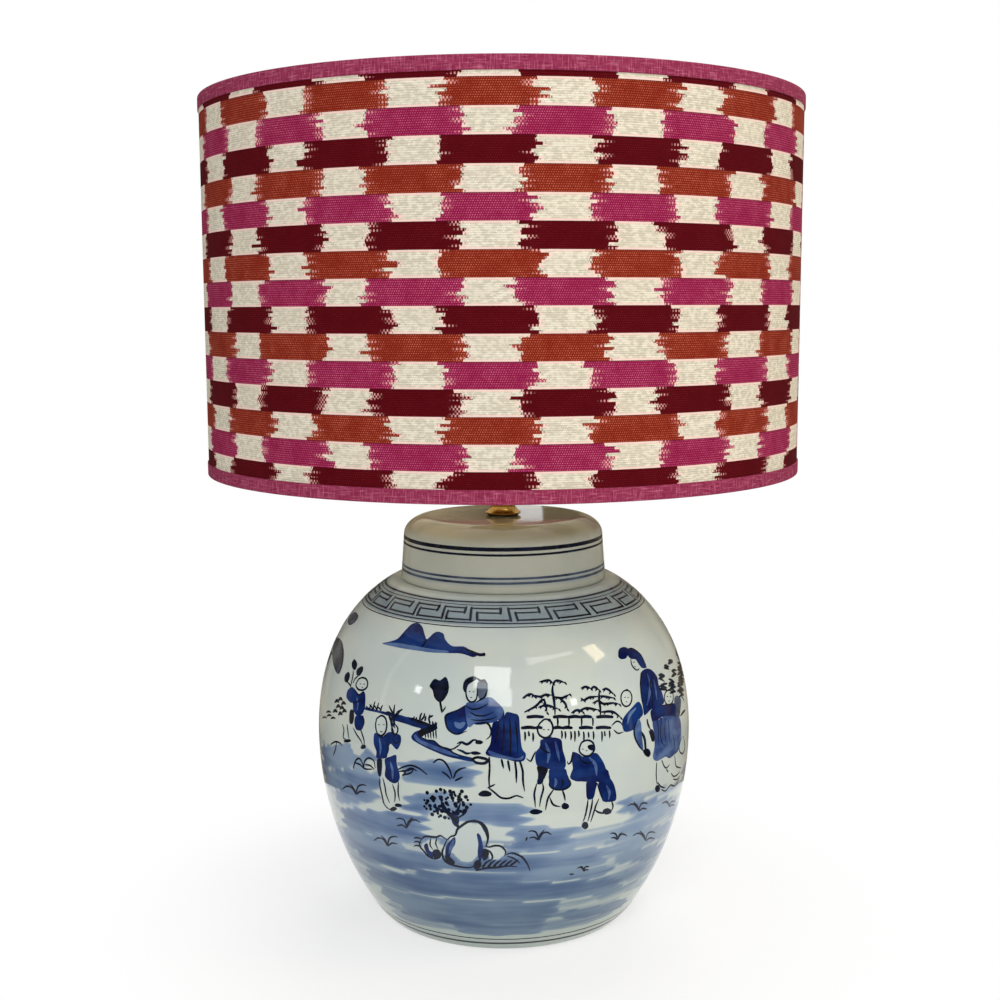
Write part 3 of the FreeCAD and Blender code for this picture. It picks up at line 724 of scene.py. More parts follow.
def smooth_line(points, step, closed=False):
    """A curve through the points, sampled about every step. A repeated point makes a corner."""
    points = np.asarray(points, dtype=float)
    if closed:
        points = np.vstack([points[-1], points, points[0], points[1]])
    else:
        points = np.vstack([2 * points[0] - points[1], points, 2 * points[-1] - points[-2]])
    samples = []
    for a, b, c, d in zip(points, points[1:], points[2:], points[3:]):
        length = np.linalg.norm(c - b)
        if length < 1e-6:
            continue
        start = (c - a) / 2 if np.linalg.norm(b - a) > 1e-6 else (c - b)
        end = (d - b) / 2 if np.linalg.norm(d - c) > 1e-6 else (c - b)
        for t in np.linspace(0, 1, max(2, math.ceil(length / step)), endpoint=False):
            squared, cubed = t * t, t * t * t
            samples.append(
                (2 * cubed - 3 * squared + 1) * b
                + (cubed - 2 * squared + t) * start
                + (3 * squared - 2 * cubed) * c
                + (cubed - squared) * end
            )
    if not closed:
        samples.append(points[-2])
    return np.array(samples)


def on_back(places):
    """The same places turned to the jar's back, mirrored."""
    return places * (-1, 1) + (math.pi * BELLY_RADIUS_MM, 0)


def way_round(around, middle):
    """The shorter way round the belly from the middle to each place, in millimetres."""
    circle = math.tau * BELLY_RADIUS_MM
    return (around - middle + circle / 2) % circle - circle / 2


def turned_ccw(polygon):
    x, y = polygon[:, 0], polygon[:, 1]
    area = (x * np.roll(y, -1) - np.roll(x, -1) * y).sum()
    return polygon if area > 0 else polygon[::-1]


class Painting:
    """Brush strokes on the jar's glaze, kept by tone until they are laid on as thin skins of colour."""

    def __init__(self, name):
        self.name = name
        self.polygons = {}

    def add(self, tone, polygon):
        self.polygons.setdefault(tone, []).append(turned_ccw(np.asarray(polygon)))

    def fill(self, tone, places):
        """A patch with a smooth outline through places."""
        self.add(tone, smooth_line(places, 1.4, closed=True))

    def stroke(self, tone, places, width, taper=(0.35, 0.3)):
        """A line through places, width mm at its heaviest. taper is its width at each end as a share."""
        line = smooth_line(places, STROKE_STEP_MM)
        across = wall_radius(line[:, 1]) / BELLY_RADIUS_MM
        run = 1 / wall_normal(line[:, 1])[0].clip(0.3)
        scale = np.stack([across, run], axis=-1)
        real = line * scale
        direction = np.gradient(real, axis=0)
        direction /= np.linalg.norm(direction, axis=1)[:, None].clip(1e-9)
        share = np.linspace(0, 1, len(line))
        press = np.minimum(
            taper[0] + (1 - taper[0]) * np.clip(share / 0.3, 0, 1) ** 0.7,
            taper[1] + (1 - taper[1]) * np.clip((1 - share) / 0.4, 0, 1) ** 0.7,
        )
        half = (width / 2 * press)[:, None]
        sideways = np.stack([-direction[:, 1], direction[:, 0]], axis=-1) * half / scale
        left, right = line + sideways, line - sideways
        for i in range(len(line) - 1):
            self.add(tone, [left[i], right[i], right[i + 1]])
            self.add(tone, [left[i], right[i + 1], left[i + 1]])
        for place, radius in ((0, half[0, 0]), (-1, half[-1, 0])):
            self.dot(tone, line[place], radius * 2)

    def dot(self, tone, place, width):
        """A round dab with eight corners."""
        turns = np.linspace(0, math.tau, 9)[:-1]
        across = float(wall_radius(place[1])) / BELLY_RADIUS_MM
        shape = np.stack([np.cos(turns) * width / 2 / across, np.sin(turns) * width / 2], axis=-1)
        self.add(tone, np.asarray(place) + shape)

    def skin(self, tone):
        """Every patch and stroke of one tone, joined where they overlap, as one thin closed skin."""
        polygons = self.polygons[tone]
        vertices = [tuple(point) for polygon in polygons for point in polygon]
        faces, start = [], 0
        for polygon in polygons:
            faces.append(list(range(start, start + len(polygon))))
            start += len(polygon)
        # loose points inside the patches, so that the triangles follow the jar's curve
        low, high = np.min(vertices, axis=0), np.max(vertices, axis=0)
        grid_x = np.arange(low[0], high[0], FILL_GRID_MM)
        grid_y = np.arange(low[1], high[1], FILL_GRID_MM)
        grid = [(x + 0.1 * math.sin(y), y + 0.1 * math.cos(x)) for x in grid_x for y in grid_y]
        vertices = [Vector(point) for point in vertices + grid]
        made = delaunay_2d_cdt(vertices, [], faces, 1, 1e-4)
        places = np.array([tuple(v) for v in made[0]])
        triangles = np.array([face for face, sources in zip(made[2], made[5]) if sources])
        used, triangles = np.unique(triangles, return_inverse=True)
        return self.closed_skin(tone, places[used], triangles.reshape(-1, 3))

    def closed_skin(self, tone, places, triangles):
        """The triangles as a top just off the glaze, a bottom just under it and the sides between."""
        count = len(places)
        top, normals = on_wall(places, TONE_LIFT_MM[tone])
        bottom, _ = on_wall(places, -SKIN_DEPTH_MM)
        sides = {}
        for a, b, c in triangles.tolist():
            for edge in ((a, b), (b, c), (c, a)):
                if edge[::-1] in sides:
                    del sides[edge[::-1]]
                else:
                    sides[edge] = True
        faces = triangles.tolist()
        faces += (triangles[:, ::-1] + count).tolist()
        faces += [(b, a, a + count, b + count) for a, b in sides]
        piece = new_piece(f"{self.name}_{tone}", np.vstack([top, bottom]), faces, "base")
        piece.data.normals_split_custom_set_from_vertices(np.vstack([normals, normals]).tolist())
        return piece


class Window:
    """An enlarged part of the photograph: its (x, y) are places on the jar's front and on its back."""

    def __init__(self, front, back, left, top, scale):
        self.front, self.back = front, back
        self.left, self.top, self.scale = left, top, scale

    def places(self, points):
        return photo_to_wall(np.asarray(points, dtype=float) / self.scale + (self.left, self.top))

    def sides(self, points):
        """Each of the two paintings with the points' places in it."""
        places = self.places(points)
        return (self.front, places), (self.back, on_back(places))

    def fill(self, tone, *points):
        for painting, places in self.sides(points):
            painting.fill(tone, places)

    def line(self, tone, weight, *points, taper=(0.35, 0.3)):
        for painting, places in self.sides(points):
            painting.stroke(tone, places, weight * BRUSH_MM, taper)

    def dots(self, tone, width, *points):
        for painting, places in self.sides(points):
            for place in places:
                painting.dot(tone, place, width)


# --- what is painted on the jar ---------------------------------------------------------

# Parts of the photograph, enlarged, in which the figures' outlines are measured:
# the left and top pixel, and the enlargement.
WINDOWS = {
    "jar": (300, 590, 3.872),
    "hill": (360, 600, 11.2),
    "left_boys": (340, 640, 15.68),
    "left_ground": (340, 720, 14.25),
    "fold": (395, 690, 14.93),
    "seated_lady": (430, 660, 14.25),
    "skirt": (440, 730, 15.68),
    "garden": (525, 670, 14.25),
    "bent_boys": (525, 770, 14.25),
    "right_lady": (610, 635, 14.25),
    "right_edge": (630, 650, 10.45),
    "bush": (370, 790, 14.25),
    "rocks": (470, 800, 14.25),
}


def paint_rings(painting):
    """The lines that run all the way round: under the lid, below the key band and over the foot."""
    half = math.pi * BELLY_RADIUS_MM
    turns = np.linspace(-half, half, 400)
    for height, width in ((233.8, 1.4), (232.3, 0.5), (222.9, 0.9), (220.8, 0.7), (11.3, 0.9), (7.0, 2.0)):
        places = np.stack([turns, height + 0.12 * np.sin(turns * 0.05 + height)], axis=-1)
        painting.stroke("ink", places, width, taper=(1, 1))


# Where the key band's turns start at the front, in degrees. The rest are spaced evenly.
KEY_STARTS = [-56.8, -39.6, -25.7, -13.7, 2.0, 18.2, 35.7, 56.6]
KEY_COUNT = 22


def paint_key_band(painting):
    """One unbroken square-cornered line round the shoulder, its turns as uneven as the hand made them."""
    unseen = KEY_COUNT - len(KEY_STARTS) + 1
    starts = KEY_STARTS + np.linspace(KEY_STARTS[-1], KEY_STARTS[0] + 360, unseen + 1)[1:].tolist()
    low, high = 224.6, 230.6
    corners = [(0, 1), (0.80, 1), (0.80, 0.63), (0.18, 0.63), (0.22, 0), (1.06, 0), (1, 1)]
    for start_angle, end_angle in zip(starts, starts[1:]):
        points = []
        for x, y in corners:
            angle = math.radians(start_angle + x * (end_angle - start_angle))
            points.append((angle * BELLY_RADIUS_MM, low + (high - low) * y))
        for (start, end), width in zip(zip(points, points[1:]), (1.3, 1.9, 1.2, 1.8, 1.4, 1.8)):
            painting.stroke("ink", [start, end], width, taper=(0.9, 0.9))


def paint_hill(w):
    """The dark hill behind the figures."""
    w.fill(
        "cobalt", (265, 485), (350, 465), (440, 430), (520, 340), (590, 270), (655, 255), (710, 300),
        (745, 400), (760, 440), (800, 410), (840, 370), (890, 355), (950, 380), (970, 440), (1050, 515),
        (1180, 520), (1260, 570), (1330, 605), (1290, 640), (1150, 600), (1000, 595), (800, 585),
        (600, 555), (430, 530), (330, 505),
    )
    w.fill(
        "mid", (270, 488), (420, 480), (600, 510), (800, 545), (1000, 570), (960, 592), (700, 572),
        (430, 530),
    )
    w.line("ink", 1.5, (1180, 540), (1290, 590), (1360, 612), (1405, 610), taper=(0.2, 1.0))
    w.line("ink", 1.0, (760, 440), (730, 500), (700, 530))


def paint_first_boy(w):
    """The boy at the far left, who carries leaves over his shoulder."""
    w.fill("ink", (255, 300), (300, 380), (270, 470), (225, 440), (215, 360))
    w.fill("ink", (375, 410), (395, 470), (340, 560), (290, 540), (300, 460))
    w.fill("ink", (165, 500), (190, 560), (150, 665), (105, 640), (110, 550))
    w.line("ink", 1.0, (240, 480), (236, 560), (205, 720))
    w.line("ink", 0.8, (330, 550), (270, 610), (235, 680))
    w.line("ink", 0.8, (150, 660), (190, 700), (215, 760))
    head = [(330, 610), (380, 590), (440, 610), (468, 680), (450, 750), (390, 785), (320, 770), (285, 700)]
    w.line("ink", 0.9, *head, (330, 605), taper=(0.8, 0.8))
    w.line("ink", 0.5, (345, 690), (365, 686))
    w.line("ink", 0.5, (400, 692), (425, 690))
    w.line("ink", 0.5, (375, 740), (400, 742))
    w.fill(
        "cobalt", (150, 800), (210, 740), (260, 760), (330, 860), (400, 800), (435, 870), (430, 1060),
        (380, 1170), (300, 1180), (250, 1100), (240, 990), (200, 980), (140, 900),
    )
    w.line("ink", 0.8, (265, 770), (330, 860), (400, 805))
    w.line("mid", 1.0, (300, 900), (320, 1000), (310, 1100))
    w.line("ink", 0.7, (245, 990), (330, 960), (400, 900))
    w.fill("ink", (200, 1100), (250, 1100), (262, 1200), (240, 1310), (195, 1300), (188, 1200))
    w.fill("cobalt", (290, 1190), (400, 1190), (415, 1290), (380, 1410), (300, 1405), (268, 1300))
    w.line("ink", 0.8, (400, 1185), (418, 1290), (385, 1405))


def paint_first_legs(w):
    """The first boy's legs and shoes."""
    w.line("ink", 0.8, (75, 65), (95, 150), (85, 245), (130, 285))
    w.line("ink", 0.8, (140, 60), (150, 150), (170, 280))
    w.line("ink", 0.8, (225, 110), (280, 210), (340, 300), (365, 370))
    w.line("ink", 0.8, (320, 105), (355, 200), (385, 300), (380, 365))
    w.fill("ink", (110, 280), (180, 275), (195, 305), (140, 320), (95, 310))
    w.fill("ink", (345, 365), (395, 350), (410, 390), (370, 415), (335, 400))


def paint_second_boy(w, lower):
    """The boy who holds up a toy on a stick."""
    head = [
        (620, 1230), (690, 1185), (755, 1230), (775, 1340), (750, 1450), (690, 1500), (630, 1470),
        (600, 1340),
    ]
    w.line("ink", 0.9, *head, (615, 1240), taper=(0.8, 0.8))
    w.line("ink", 0.5, (640, 1330), (665, 1325))
    w.line("ink", 0.5, (715, 1330), (745, 1330))
    w.line("ink", 0.5, (672, 1430), (690, 1442), (712, 1430))
    w.line(
        "ink", 0.8, (860, 1350), (905, 1330), (950, 1390), (930, 1470), (870, 1460), (850, 1390),
        (870, 1345),
    )
    w.line("ink", 0.8, (835, 1290), (880, 1440), (900, 1520))
    w.line("ink", 1.2, (800, 1150), (850, 1290), (905, 1380))
    w.line("ink", 0.8, (900, 1010), (880, 1130), (850, 1290))
    w.line("ink", 0.8, (1010, 1080), (930, 1180), (860, 1290))
    lower.fill(
        "cobalt", (530, 190), (520, 330), (560, 450), (560, 540), (700, 540), (720, 450), (760, 340),
        (850, 420), (905, 330), (900, 220), (800, 180), (740, 170), (690, 200), (650, 240), (600, 200),
    )
    lower.line("ink", 0.7, (600, 200), (650, 245), (700, 200))
    lower.line("mid", 1.1, (600, 260), (620, 380), (610, 500))
    lower.line("ink", 0.8, (700, 300), (730, 400), (700, 520))
    lower.line("ink", 0.7, (790, 250), (830, 330), (900, 290))
    lower.fill("ink", (572, 560), (635, 560), (640, 680), (620, 800), (590, 790), (568, 680))
    lower.fill(
        "cobalt", (680, 560), (760, 520), (840, 500), (850, 620), (895, 790), (870, 880), (800, 900),
        (720, 850), (680, 790), (690, 680),
    )
    lower.line("mid", 1.3, (760, 600), (790, 720), (790, 840))
    lower.line("ink", 0.8, (600, 830), (612, 940), (640, 1080), (670, 1200), (740, 1270), (800, 1275))
    lower.line("ink", 0.8, (650, 820), (680, 940), (700, 1060), (745, 1180))
    lower.line("ink", 0.8, (790, 920), (825, 1040), (820, 1170))
    lower.line("ink", 0.8, (875, 880), (868, 1030), (890, 1150))
    lower.fill("ink", (750, 1265), (800, 1235), (850, 1255), (830, 1290), (770, 1295))
    lower.fill("ink", (835, 1190), (900, 1195), (925, 1225), (870, 1240), (820, 1225))


def paint_bank(w, fold):
    """The edge of the water, from the first boy down to a fold and on to the seated lady's feet."""
    w.fill(
        "cobalt", (430, 1055), (640, 1100), (880, 1158), (1060, 1200), (1200, 1225), (1200, 1290),
        (1040, 1262), (880, 1212), (640, 1142), (430, 1092),
    )
    fold.fill(
        "cobalt", (0, 360), (130, 375), (250, 420), (400, 468), (560, 508), (650, 520), (660, 575),
        (560, 640), (430, 690), (520, 745), (620, 765), (720, 840), (850, 885), (1000, 975),
        (1210, 1020), (1210, 1070), (1000, 1035), (800, 985), (560, 885), (380, 795), (300, 740),
        (285, 690), (330, 630), (430, 580), (330, 548), (200, 505), (50, 462), (-20, 450),
    )
    fold.fill(
        "mid", (320, 690), (350, 660), (420, 740), (600, 815), (820, 900), (1000, 990), (800, 950),
        (560, 860), (390, 775),
    )
    fold.line("ink", 1.5, (250, 425), (400, 472), (540, 520), (655, 545))
    fold.fill(
        "ink", (400, 600), (500, 560), (640, 500), (670, 560), (620, 610), (500, 660), (430, 705),
        (385, 670),
    )
    fold.line(
        "ink", 0.8, (430, 700), (520, 745), (620, 762), (720, 842), (850, 885), (900, 930), (1010, 975),
        (1200, 1015),
    )
    for x in (490, 530, 570, 610, 650):
        fold.line("ink", 0.65, (x, 600), (x + 4, 665), (x + 10, 725), taper=(0.9, 0.3))
    loop = [(1200, 1030), (1270, 1005), (1400, 1030), (1425, 1060), (1370, 1095), (1260, 1085), (1200, 1040)]
    fold.line("ink", 1.3, *loop, taper=(0.8, 0.8))
    blades = [
        [(310, 430), (330, 400)], [(345, 450), (365, 410)], [(410, 440), (420, 380), (440, 345)],
        [(440, 440), (470, 400), (480, 350)], [(490, 450), (500, 390)], [(560, 490), (545, 430), (560, 370)],
        [(550, 410), (605, 380)], [(610, 520), (600, 470)], [(640, 540), (665, 490)],
        [(660, 570), (640, 480)],
    ]
    for blade in blades:
        fold.line("ink", 0.9, *blade, taper=(1, 0.5))
    fold.line("ink", 1.1, (30, 500), (20, 370), (25, 245), taper=(1, 0.4))
    fold.line("ink", 1.0, (40, 400), (80, 330), (150, 290), taper=(1, 0.3))
    fold.line("ink", 0.9, (20, 380), (-60, 330), (-110, 340), taper=(1, 0.3))
    fold.line("ink", 0.9, (20, 370), (-30, 280), (-50, 230), taper=(1, 0.3))
    for x, reach in ((500, 90), (560, 140), (620, 120), (680, 80)):
        w.line("ink", 0.8, (x, 1100), (x + 12, 1100 - 0.6 * reach), (x + 30, 1100 - reach), taper=(1, 0.3))
        w.line(
            "ink", 0.8, (x, 1095), (x - 30, 1095 - 0.4 * reach), (x - 60, 1080 - 0.5 * reach),
            taper=(1, 0.3),
        )


def paint_tuft(w, x, y, size, side):
    """A clump of grass: an arched leaf to each side and short ones between. side mirrors it."""
    leaves = [
        [(0, 0), (-0.3, -0.42), (-0.65, -0.5), (-1.0, -0.3)],
        [(0.05, 0), (0.25, -0.5), (0.6, -0.62), (0.85, -0.55)],
        [(0, 0.05), (-0.08, -0.3), (-0.42, -0.7)],
        [(0.1, 0.1), (0.4, -0.1), (0.8, -0.05)],
    ]
    for leaf in leaves:
        w.line("ink", 0.8, *[(x + side * size * a, y + size * b) for a, b in leaf], taper=(1.0, 0.4))


def paint_seated_lady(w):
    """The lady with a round fan, bending over, seen half from behind."""
    w.fill(
        "ink", (25, 370), (90, 270), (170, 290), (250, 240), (295, 330), (295, 450), (230, 570),
        (170, 600), (100, 540), (70, 430),
    )
    w.line("slate", 1.0, (120, 320), (160, 420), (150, 540))
    w.line("slate", 0.8, (220, 300), (225, 430), (190, 540))
    w.line("ink", 1.0, (180, 600), (195, 680), (205, 745), taper=(1, 0.6))
    w.line("ink", 0.7, (205, 745), (240, 700), (260, 660))
    w.line("ink", 0.8, (555, 380), (545, 470), (570, 560), (630, 600), (690, 560), (705, 480), (700, 380))
    w.line("ink", 0.5, (585, 450), (610, 445))
    w.line("ink", 0.5, (640, 450), (665, 455))
    w.line("ink", 0.5, (610, 530), (635, 535))
    w.fill(
        "ink", (500, 400), (515, 310), (560, 260), (650, 230), (700, 260), (640, 310), (580, 350),
        (550, 420), (530, 460),
    )
    w.fill(
        "slate", (705, 330), (755, 280), (805, 290), (850, 350), (850, 440), (800, 540), (745, 560),
        (715, 510), (705, 420),
    )
    w.line("ink", 1.2, (700, 260), (760, 300), (800, 290), (850, 350))
    w.line("ink", 0.9, (850, 430), (810, 530), (750, 565), (700, 600))
    w.fill(
        "mid", (540, 640), (620, 590), (700, 580), (800, 545), (900, 530), (1000, 610), (1080, 700),
        (1060, 800), (1000, 860), (880, 900), (700, 890), (600, 960), (560, 860),
    )
    w.fill("cobalt", (960, 590), (1040, 650), (1095, 740), (1075, 850), (1010, 870), (1030, 780), (1010, 690))
    w.fill(
        "cobalt", (330, 760), (430, 720), (540, 650), (590, 740), (605, 850), (590, 920), (540, 1000),
        (420, 1060), (305, 985), (262, 880), (265, 790),
    )
    w.line("mid", 2.6, (400, 900), (460, 940), (520, 900), taper=(0.5, 0.5))
    w.line(
        "ink", 0.9, (540, 645), (430, 715), (330, 755), (262, 790), (258, 870), (300, 990), (420, 1058),
        (560, 1010),
    )
    w.line("ink", 0.7, (540, 650), (640, 700), (760, 680), (860, 620))
    w.line("ink", 0.7, (600, 740), (700, 790), (820, 790), (940, 740))
    w.line("ink", 0.6, (620, 850), (740, 860), (900, 840), (1000, 800))
    w.line("cobalt", 1.3, (660, 620), (760, 600), (860, 560))
    w.line("cobalt", 1.3, (640, 900), (760, 900), (900, 880))
    w.line("ink", 0.9, (700, 900), (850, 900), (910, 1000), (890, 1090), (840, 1130))
    w.line("ink", 1.2, (430, 1190), (490, 1170), (570, 1200), (660, 1140), (720, 1150))
    w.fill("ink", (690, 1150), (750, 1140), (800, 1170), (760, 1200), (690, 1190))
    w.line("ink", 1.1, (430, 1275), (500, 1300), (560, 1330), (640, 1320))
    w.fill("ink", (620, 1310), (700, 1300), (770, 1330), (720, 1350), (640, 1345))
    w.line("ink", 0.7, (490, 1180), (430, 1230), (360, 1270), (300, 1265))


def paint_seated_skirts(w, skirt):
    """The seated lady's skirts, with their folds and her shoe."""
    w.fill(
        "cobalt", (1130, 740), (1230, 760), (1300, 800), (1320, 1000), (1350, 1250), (1405, 1340),
        (1380, 1430), (1280, 1450), (1150, 1420), (1050, 1390), (930, 1380), (830, 1330), (900, 1180),
        (930, 900), (1050, 860), (1090, 800),
    )
    w.fill(
        "mid", (870, 1290), (1000, 1330), (1130, 1370), (1290, 1400), (1370, 1360), (1340, 1420),
        (1150, 1415), (930, 1375),
    )
    for top, bottom in (
        ((1010, 880), (960, 1200)),
        ((1090, 860), (1060, 1330)),
        ((1170, 820), (1180, 1380)),
        ((1250, 860), (1290, 1330)),
    ):
        w.line("ink", 0.8, top, ((top[0] + bottom[0]) / 2 + 12, (top[1] + bottom[1]) / 2), bottom)
    skirt.line("ink", 0.9, (815, 430), (822, 600), (812, 780), (820, 900), taper=(0.8, 0.6))
    for points in (
        [(1010, 470), (1040, 600)],
        [(1110, 490), (1140, 650)],
        [(1220, 500), (1240, 660), (1240, 830)],
        [(1300, 500), (1340, 640), (1345, 800), (1370, 960)],
    ):
        skirt.line("ink", 1.0, *points, taper=(0.9, 0.3))
    skirt.fill("ink", (645, 1000), (700, 955), (780, 950), (850, 985), (840, 1030), (740, 1045), (660, 1030))
    skirt.line("ink", 0.8, (800, 900), (850, 880), (910, 850))
    skirt.line(
        "ink", 0.9, (800, 900), (900, 980), (1000, 1060), (1120, 1070), (1240, 1030), (1340, 1060),
        taper=(0.7, 0.6),
    )


def paint_garden(w):
    """Two spreading trees behind a fence."""
    boughs = [
        [(240, 170), (330, 150), (380, 150), (430, 190)],
        [(430, 190), (480, 150), (600, 180)],
        [(0, 400), (80, 350), (130, 345), (170, 375)],
        [(160, 360), (250, 380), (330, 350), (420, 360)],
        [(430, 380), (550, 400), (600, 380), (670, 345)],
        [(30, 600), (180, 520), (260, 440), (300, 420), (330, 500), (350, 610)],
        [(230, 530), (310, 505), (380, 510), (520, 560)],
        [(520, 400), (600, 470), (640, 560)],
        [(830, 260), (900, 240), (970, 265)],
        [(970, 265), (1020, 240), (1090, 290)],
        [(1135, 280), (1200, 270), (1300, 350)],
        [(830, 400), (870, 430), (950, 390), (1080, 375)],
        [(1090, 370), (1180, 380), (1300, 400)],
        [(1000, 470), (1080, 440), (1150, 480), (1300, 470), (1380, 490)],
        [(820, 570), (900, 545), (980, 550), (1080, 570)],
        [(1110, 600), (1250, 590), (1330, 620), (1400, 680)],
        [(700, 610), (780, 570), (860, 600)],
    ]
    for bough in boughs:
        w.line("ink", 1.15, *bough, taper=(0.5, 0.25))
        for (x, y), (after_x, after_y) in zip(bough, bough[1:]):
            middle = (x + after_x) / 2, (y + after_y) / 2
            w.line("ink", 0.8, middle, (middle[0] - 22, middle[1] + 38), taper=(1, 0.2))
            w.line("ink", 0.8, (after_x, after_y), (after_x + 26, after_y + 34), taper=(1, 0.2))
    w.line("ink", 1.2, (430, 190), (420, 290), (440, 400), (460, 560), (462, 640))
    w.line("ink", 1.2, (1090, 280), (1085, 400), (1105, 540), (1110, 660))
    for y, dashes in (
        (665, [(75, 290), (450, 640), (665, 820), (832, 975), (1065, 1280)]),
        (820, [(0, 180), (200, 270), (450, 560), (580, 700), (820, 990), (1060, 1250)]),
    ):
        for start, end in dashes:
            w.line("ink", 1.5, (start, y + 4), ((start + end) / 2, y - 4), (end, y + 4), taper=(0.9, 0.8))
    for x in (35, 90, 150, 560, 610, 690, 745, 800, 872, 940, 1010, 1130, 1170, 1240):
        low = 872 + (x * 13) % 40
        w.line("ink", 0.9, (x, low), (x + 6, low + 50), (x + 2, low + 60 + (x * 7) % 90), taper=(0.8, 0.3))
    for x in (500, 660, 840, 1000):
        w.line("ink", 0.9, (x, 690), (x + 4, 740), (x + 2, 790), taper=(0.9, 0.6))


def paint_left_stooping_boy(w, lower):
    """The left one of two boys who stoop over something on the ground."""
    head = [(245, 760), (320, 700), (400, 730), (435, 830), (400, 930), (320, 965), (240, 920), (215, 840)]
    w.line("ink", 0.9, *head, (240, 765), taper=(0.8, 0.8))
    w.line("ink", 0.7, (240, 940), (330, 975), (420, 950))
    w.line("ink", 0.5, (290, 850), (320, 845))
    w.line("ink", 0.5, (355, 850), (385, 852))
    w.fill("ink", (360, 700), (395, 690), (410, 730), (370, 735))
    w.fill(
        "cobalt", (260, 1000), (350, 975), (450, 960), (550, 990), (570, 1070), (580, 1150), (620, 1290),
        (600, 1400), (460, 1420), (240, 1380), (190, 1300), (190, 1180), (250, 1090),
    )
    w.line("ink", 0.8, (190, 1160), (150, 1240), (120, 1300), (60, 1260))
    w.line("mid", 1.4, (330, 1040), (380, 1180), (360, 1320))
    w.line("mid", 1.2, (470, 1020), (500, 1150), (530, 1290))
    w.line("ink", 0.8, (250, 1090), (330, 1160), (400, 1180))
    w.fill("ink", (215, 1370), (360, 1400), (345, 1480), (300, 1568), (230, 1568), (225, 1470))
    w.fill("cobalt", (400, 1410), (600, 1400), (640, 1480), (650, 1568), (400, 1568), (380, 1480))
    lower.fill("ink", (225, 120), (300, 120), (285, 190), (215, 200))
    lower.fill("cobalt", (400, 110), (650, 120), (690, 200), (610, 265), (470, 270), (400, 220))
    lower.line("ink", 0.9, (400, 130), (390, 220), (470, 275), (610, 270), (690, 205), (655, 120))
    lower.line("mid", 1.3, (470, 120), (480, 180), (460, 240))
    lower.line("ink", 0.9, (560, 120), (580, 190), (550, 255))
    lower.line("ink", 0.9, (205, 195), (172, 330), (178, 430), (185, 530))
    lower.line("ink", 0.9, (290, 190), (300, 270), (265, 400), (245, 520))
    lower.fill("ink", (100, 600), (150, 560), (220, 560), (290, 590), (240, 625), (150, 632))
    lower.line("ink", 0.9, (450, 270), (410, 330), (370, 390), (345, 480), (330, 570))
    lower.line("ink", 0.9, (390, 390), (430, 480), (480, 510), (540, 520))
    lower.line("ink", 0.9, (570, 280), (600, 370), (610, 440))
    lower.fill("ink", (560, 500), (600, 465), (655, 490), (665, 530), (620, 560), (565, 545))


def paint_right_stooping_boy(w, lower):
    hair = [(820, 1090), (850, 1030), (930, 1000), (1000, 1030), (1025, 1090)]
    w.line(
        "ink", 0.9, *hair, (1020, 1150), (960, 1215), (880, 1220), (815, 1160), (820, 1085),
        taper=(0.8, 0.8),
    )
    w.fill("ink", (930, 1080), (1000, 1060), (1040, 1110), (1010, 1150), (950, 1130))
    w.line("ink", 0.5, (850, 1130), (875, 1125))
    w.line("ink", 0.5, (905, 1150), (930, 1145))
    w.fill(
        "cobalt", (720, 1170), (800, 1190), (880, 1235), (1040, 1180), (1130, 1270), (1190, 1400),
        (1225, 1568), (720, 1568), (720, 1400), (705, 1280),
    )
    lower.fill(
        "cobalt", (720, 0), (900, 5), (1200, -10), (1240, 120), (1280, 180), (1150, 200), (1070, 170),
        (900, 160), (760, 160), (715, 100),
    )
    w.line("ink", 0.9, (720, 1170), (700, 1290), (660, 1340), (640, 1300))
    w.line("mid", 1.5, (960, 1250), (1040, 1350), (1060, 1500))
    w.line("ink", 0.8, (800, 1195), (840, 1290), (930, 1330), (1000, 1300))
    lower.fill("cobalt", (925, 160), (1060, 175), (1045, 280), (1010, 400), (925, 410), (910, 280))
    lower.fill(
        "cobalt", (1090, 180), (1230, 110), (1300, 190), (1335, 320), (1330, 430), (1230, 455),
        (1150, 440), (1120, 320),
    )
    lower.line("mid", 1.3, (1200, 220), (1240, 320), (1230, 420))
    lower.line("ink", 0.8, (1065, 180), (1110, 320), (1150, 445))
    lower.line("ink", 0.9, (935, 415), (920, 540), (885, 680), (860, 730))
    lower.line("ink", 0.9, (1000, 405), (985, 520), (950, 660), (930, 730))
    lower.line("ink", 0.9, (1090, 410), (1050, 500), (1030, 560), (970, 740))
    lower.line("ink", 0.9, (1030, 560), (1080, 600), (1170, 610), (1200, 560))
    lower.fill("ink", (840, 800), (870, 740), (925, 750), (935, 810), (890, 845))
    lower.fill("ink", (1150, 570), (1210, 540), (1265, 570), (1260, 615), (1195, 635), (1150, 610))
    lower.line("ink", 0.8, (1270, 440), (1290, 520), (1262, 590))


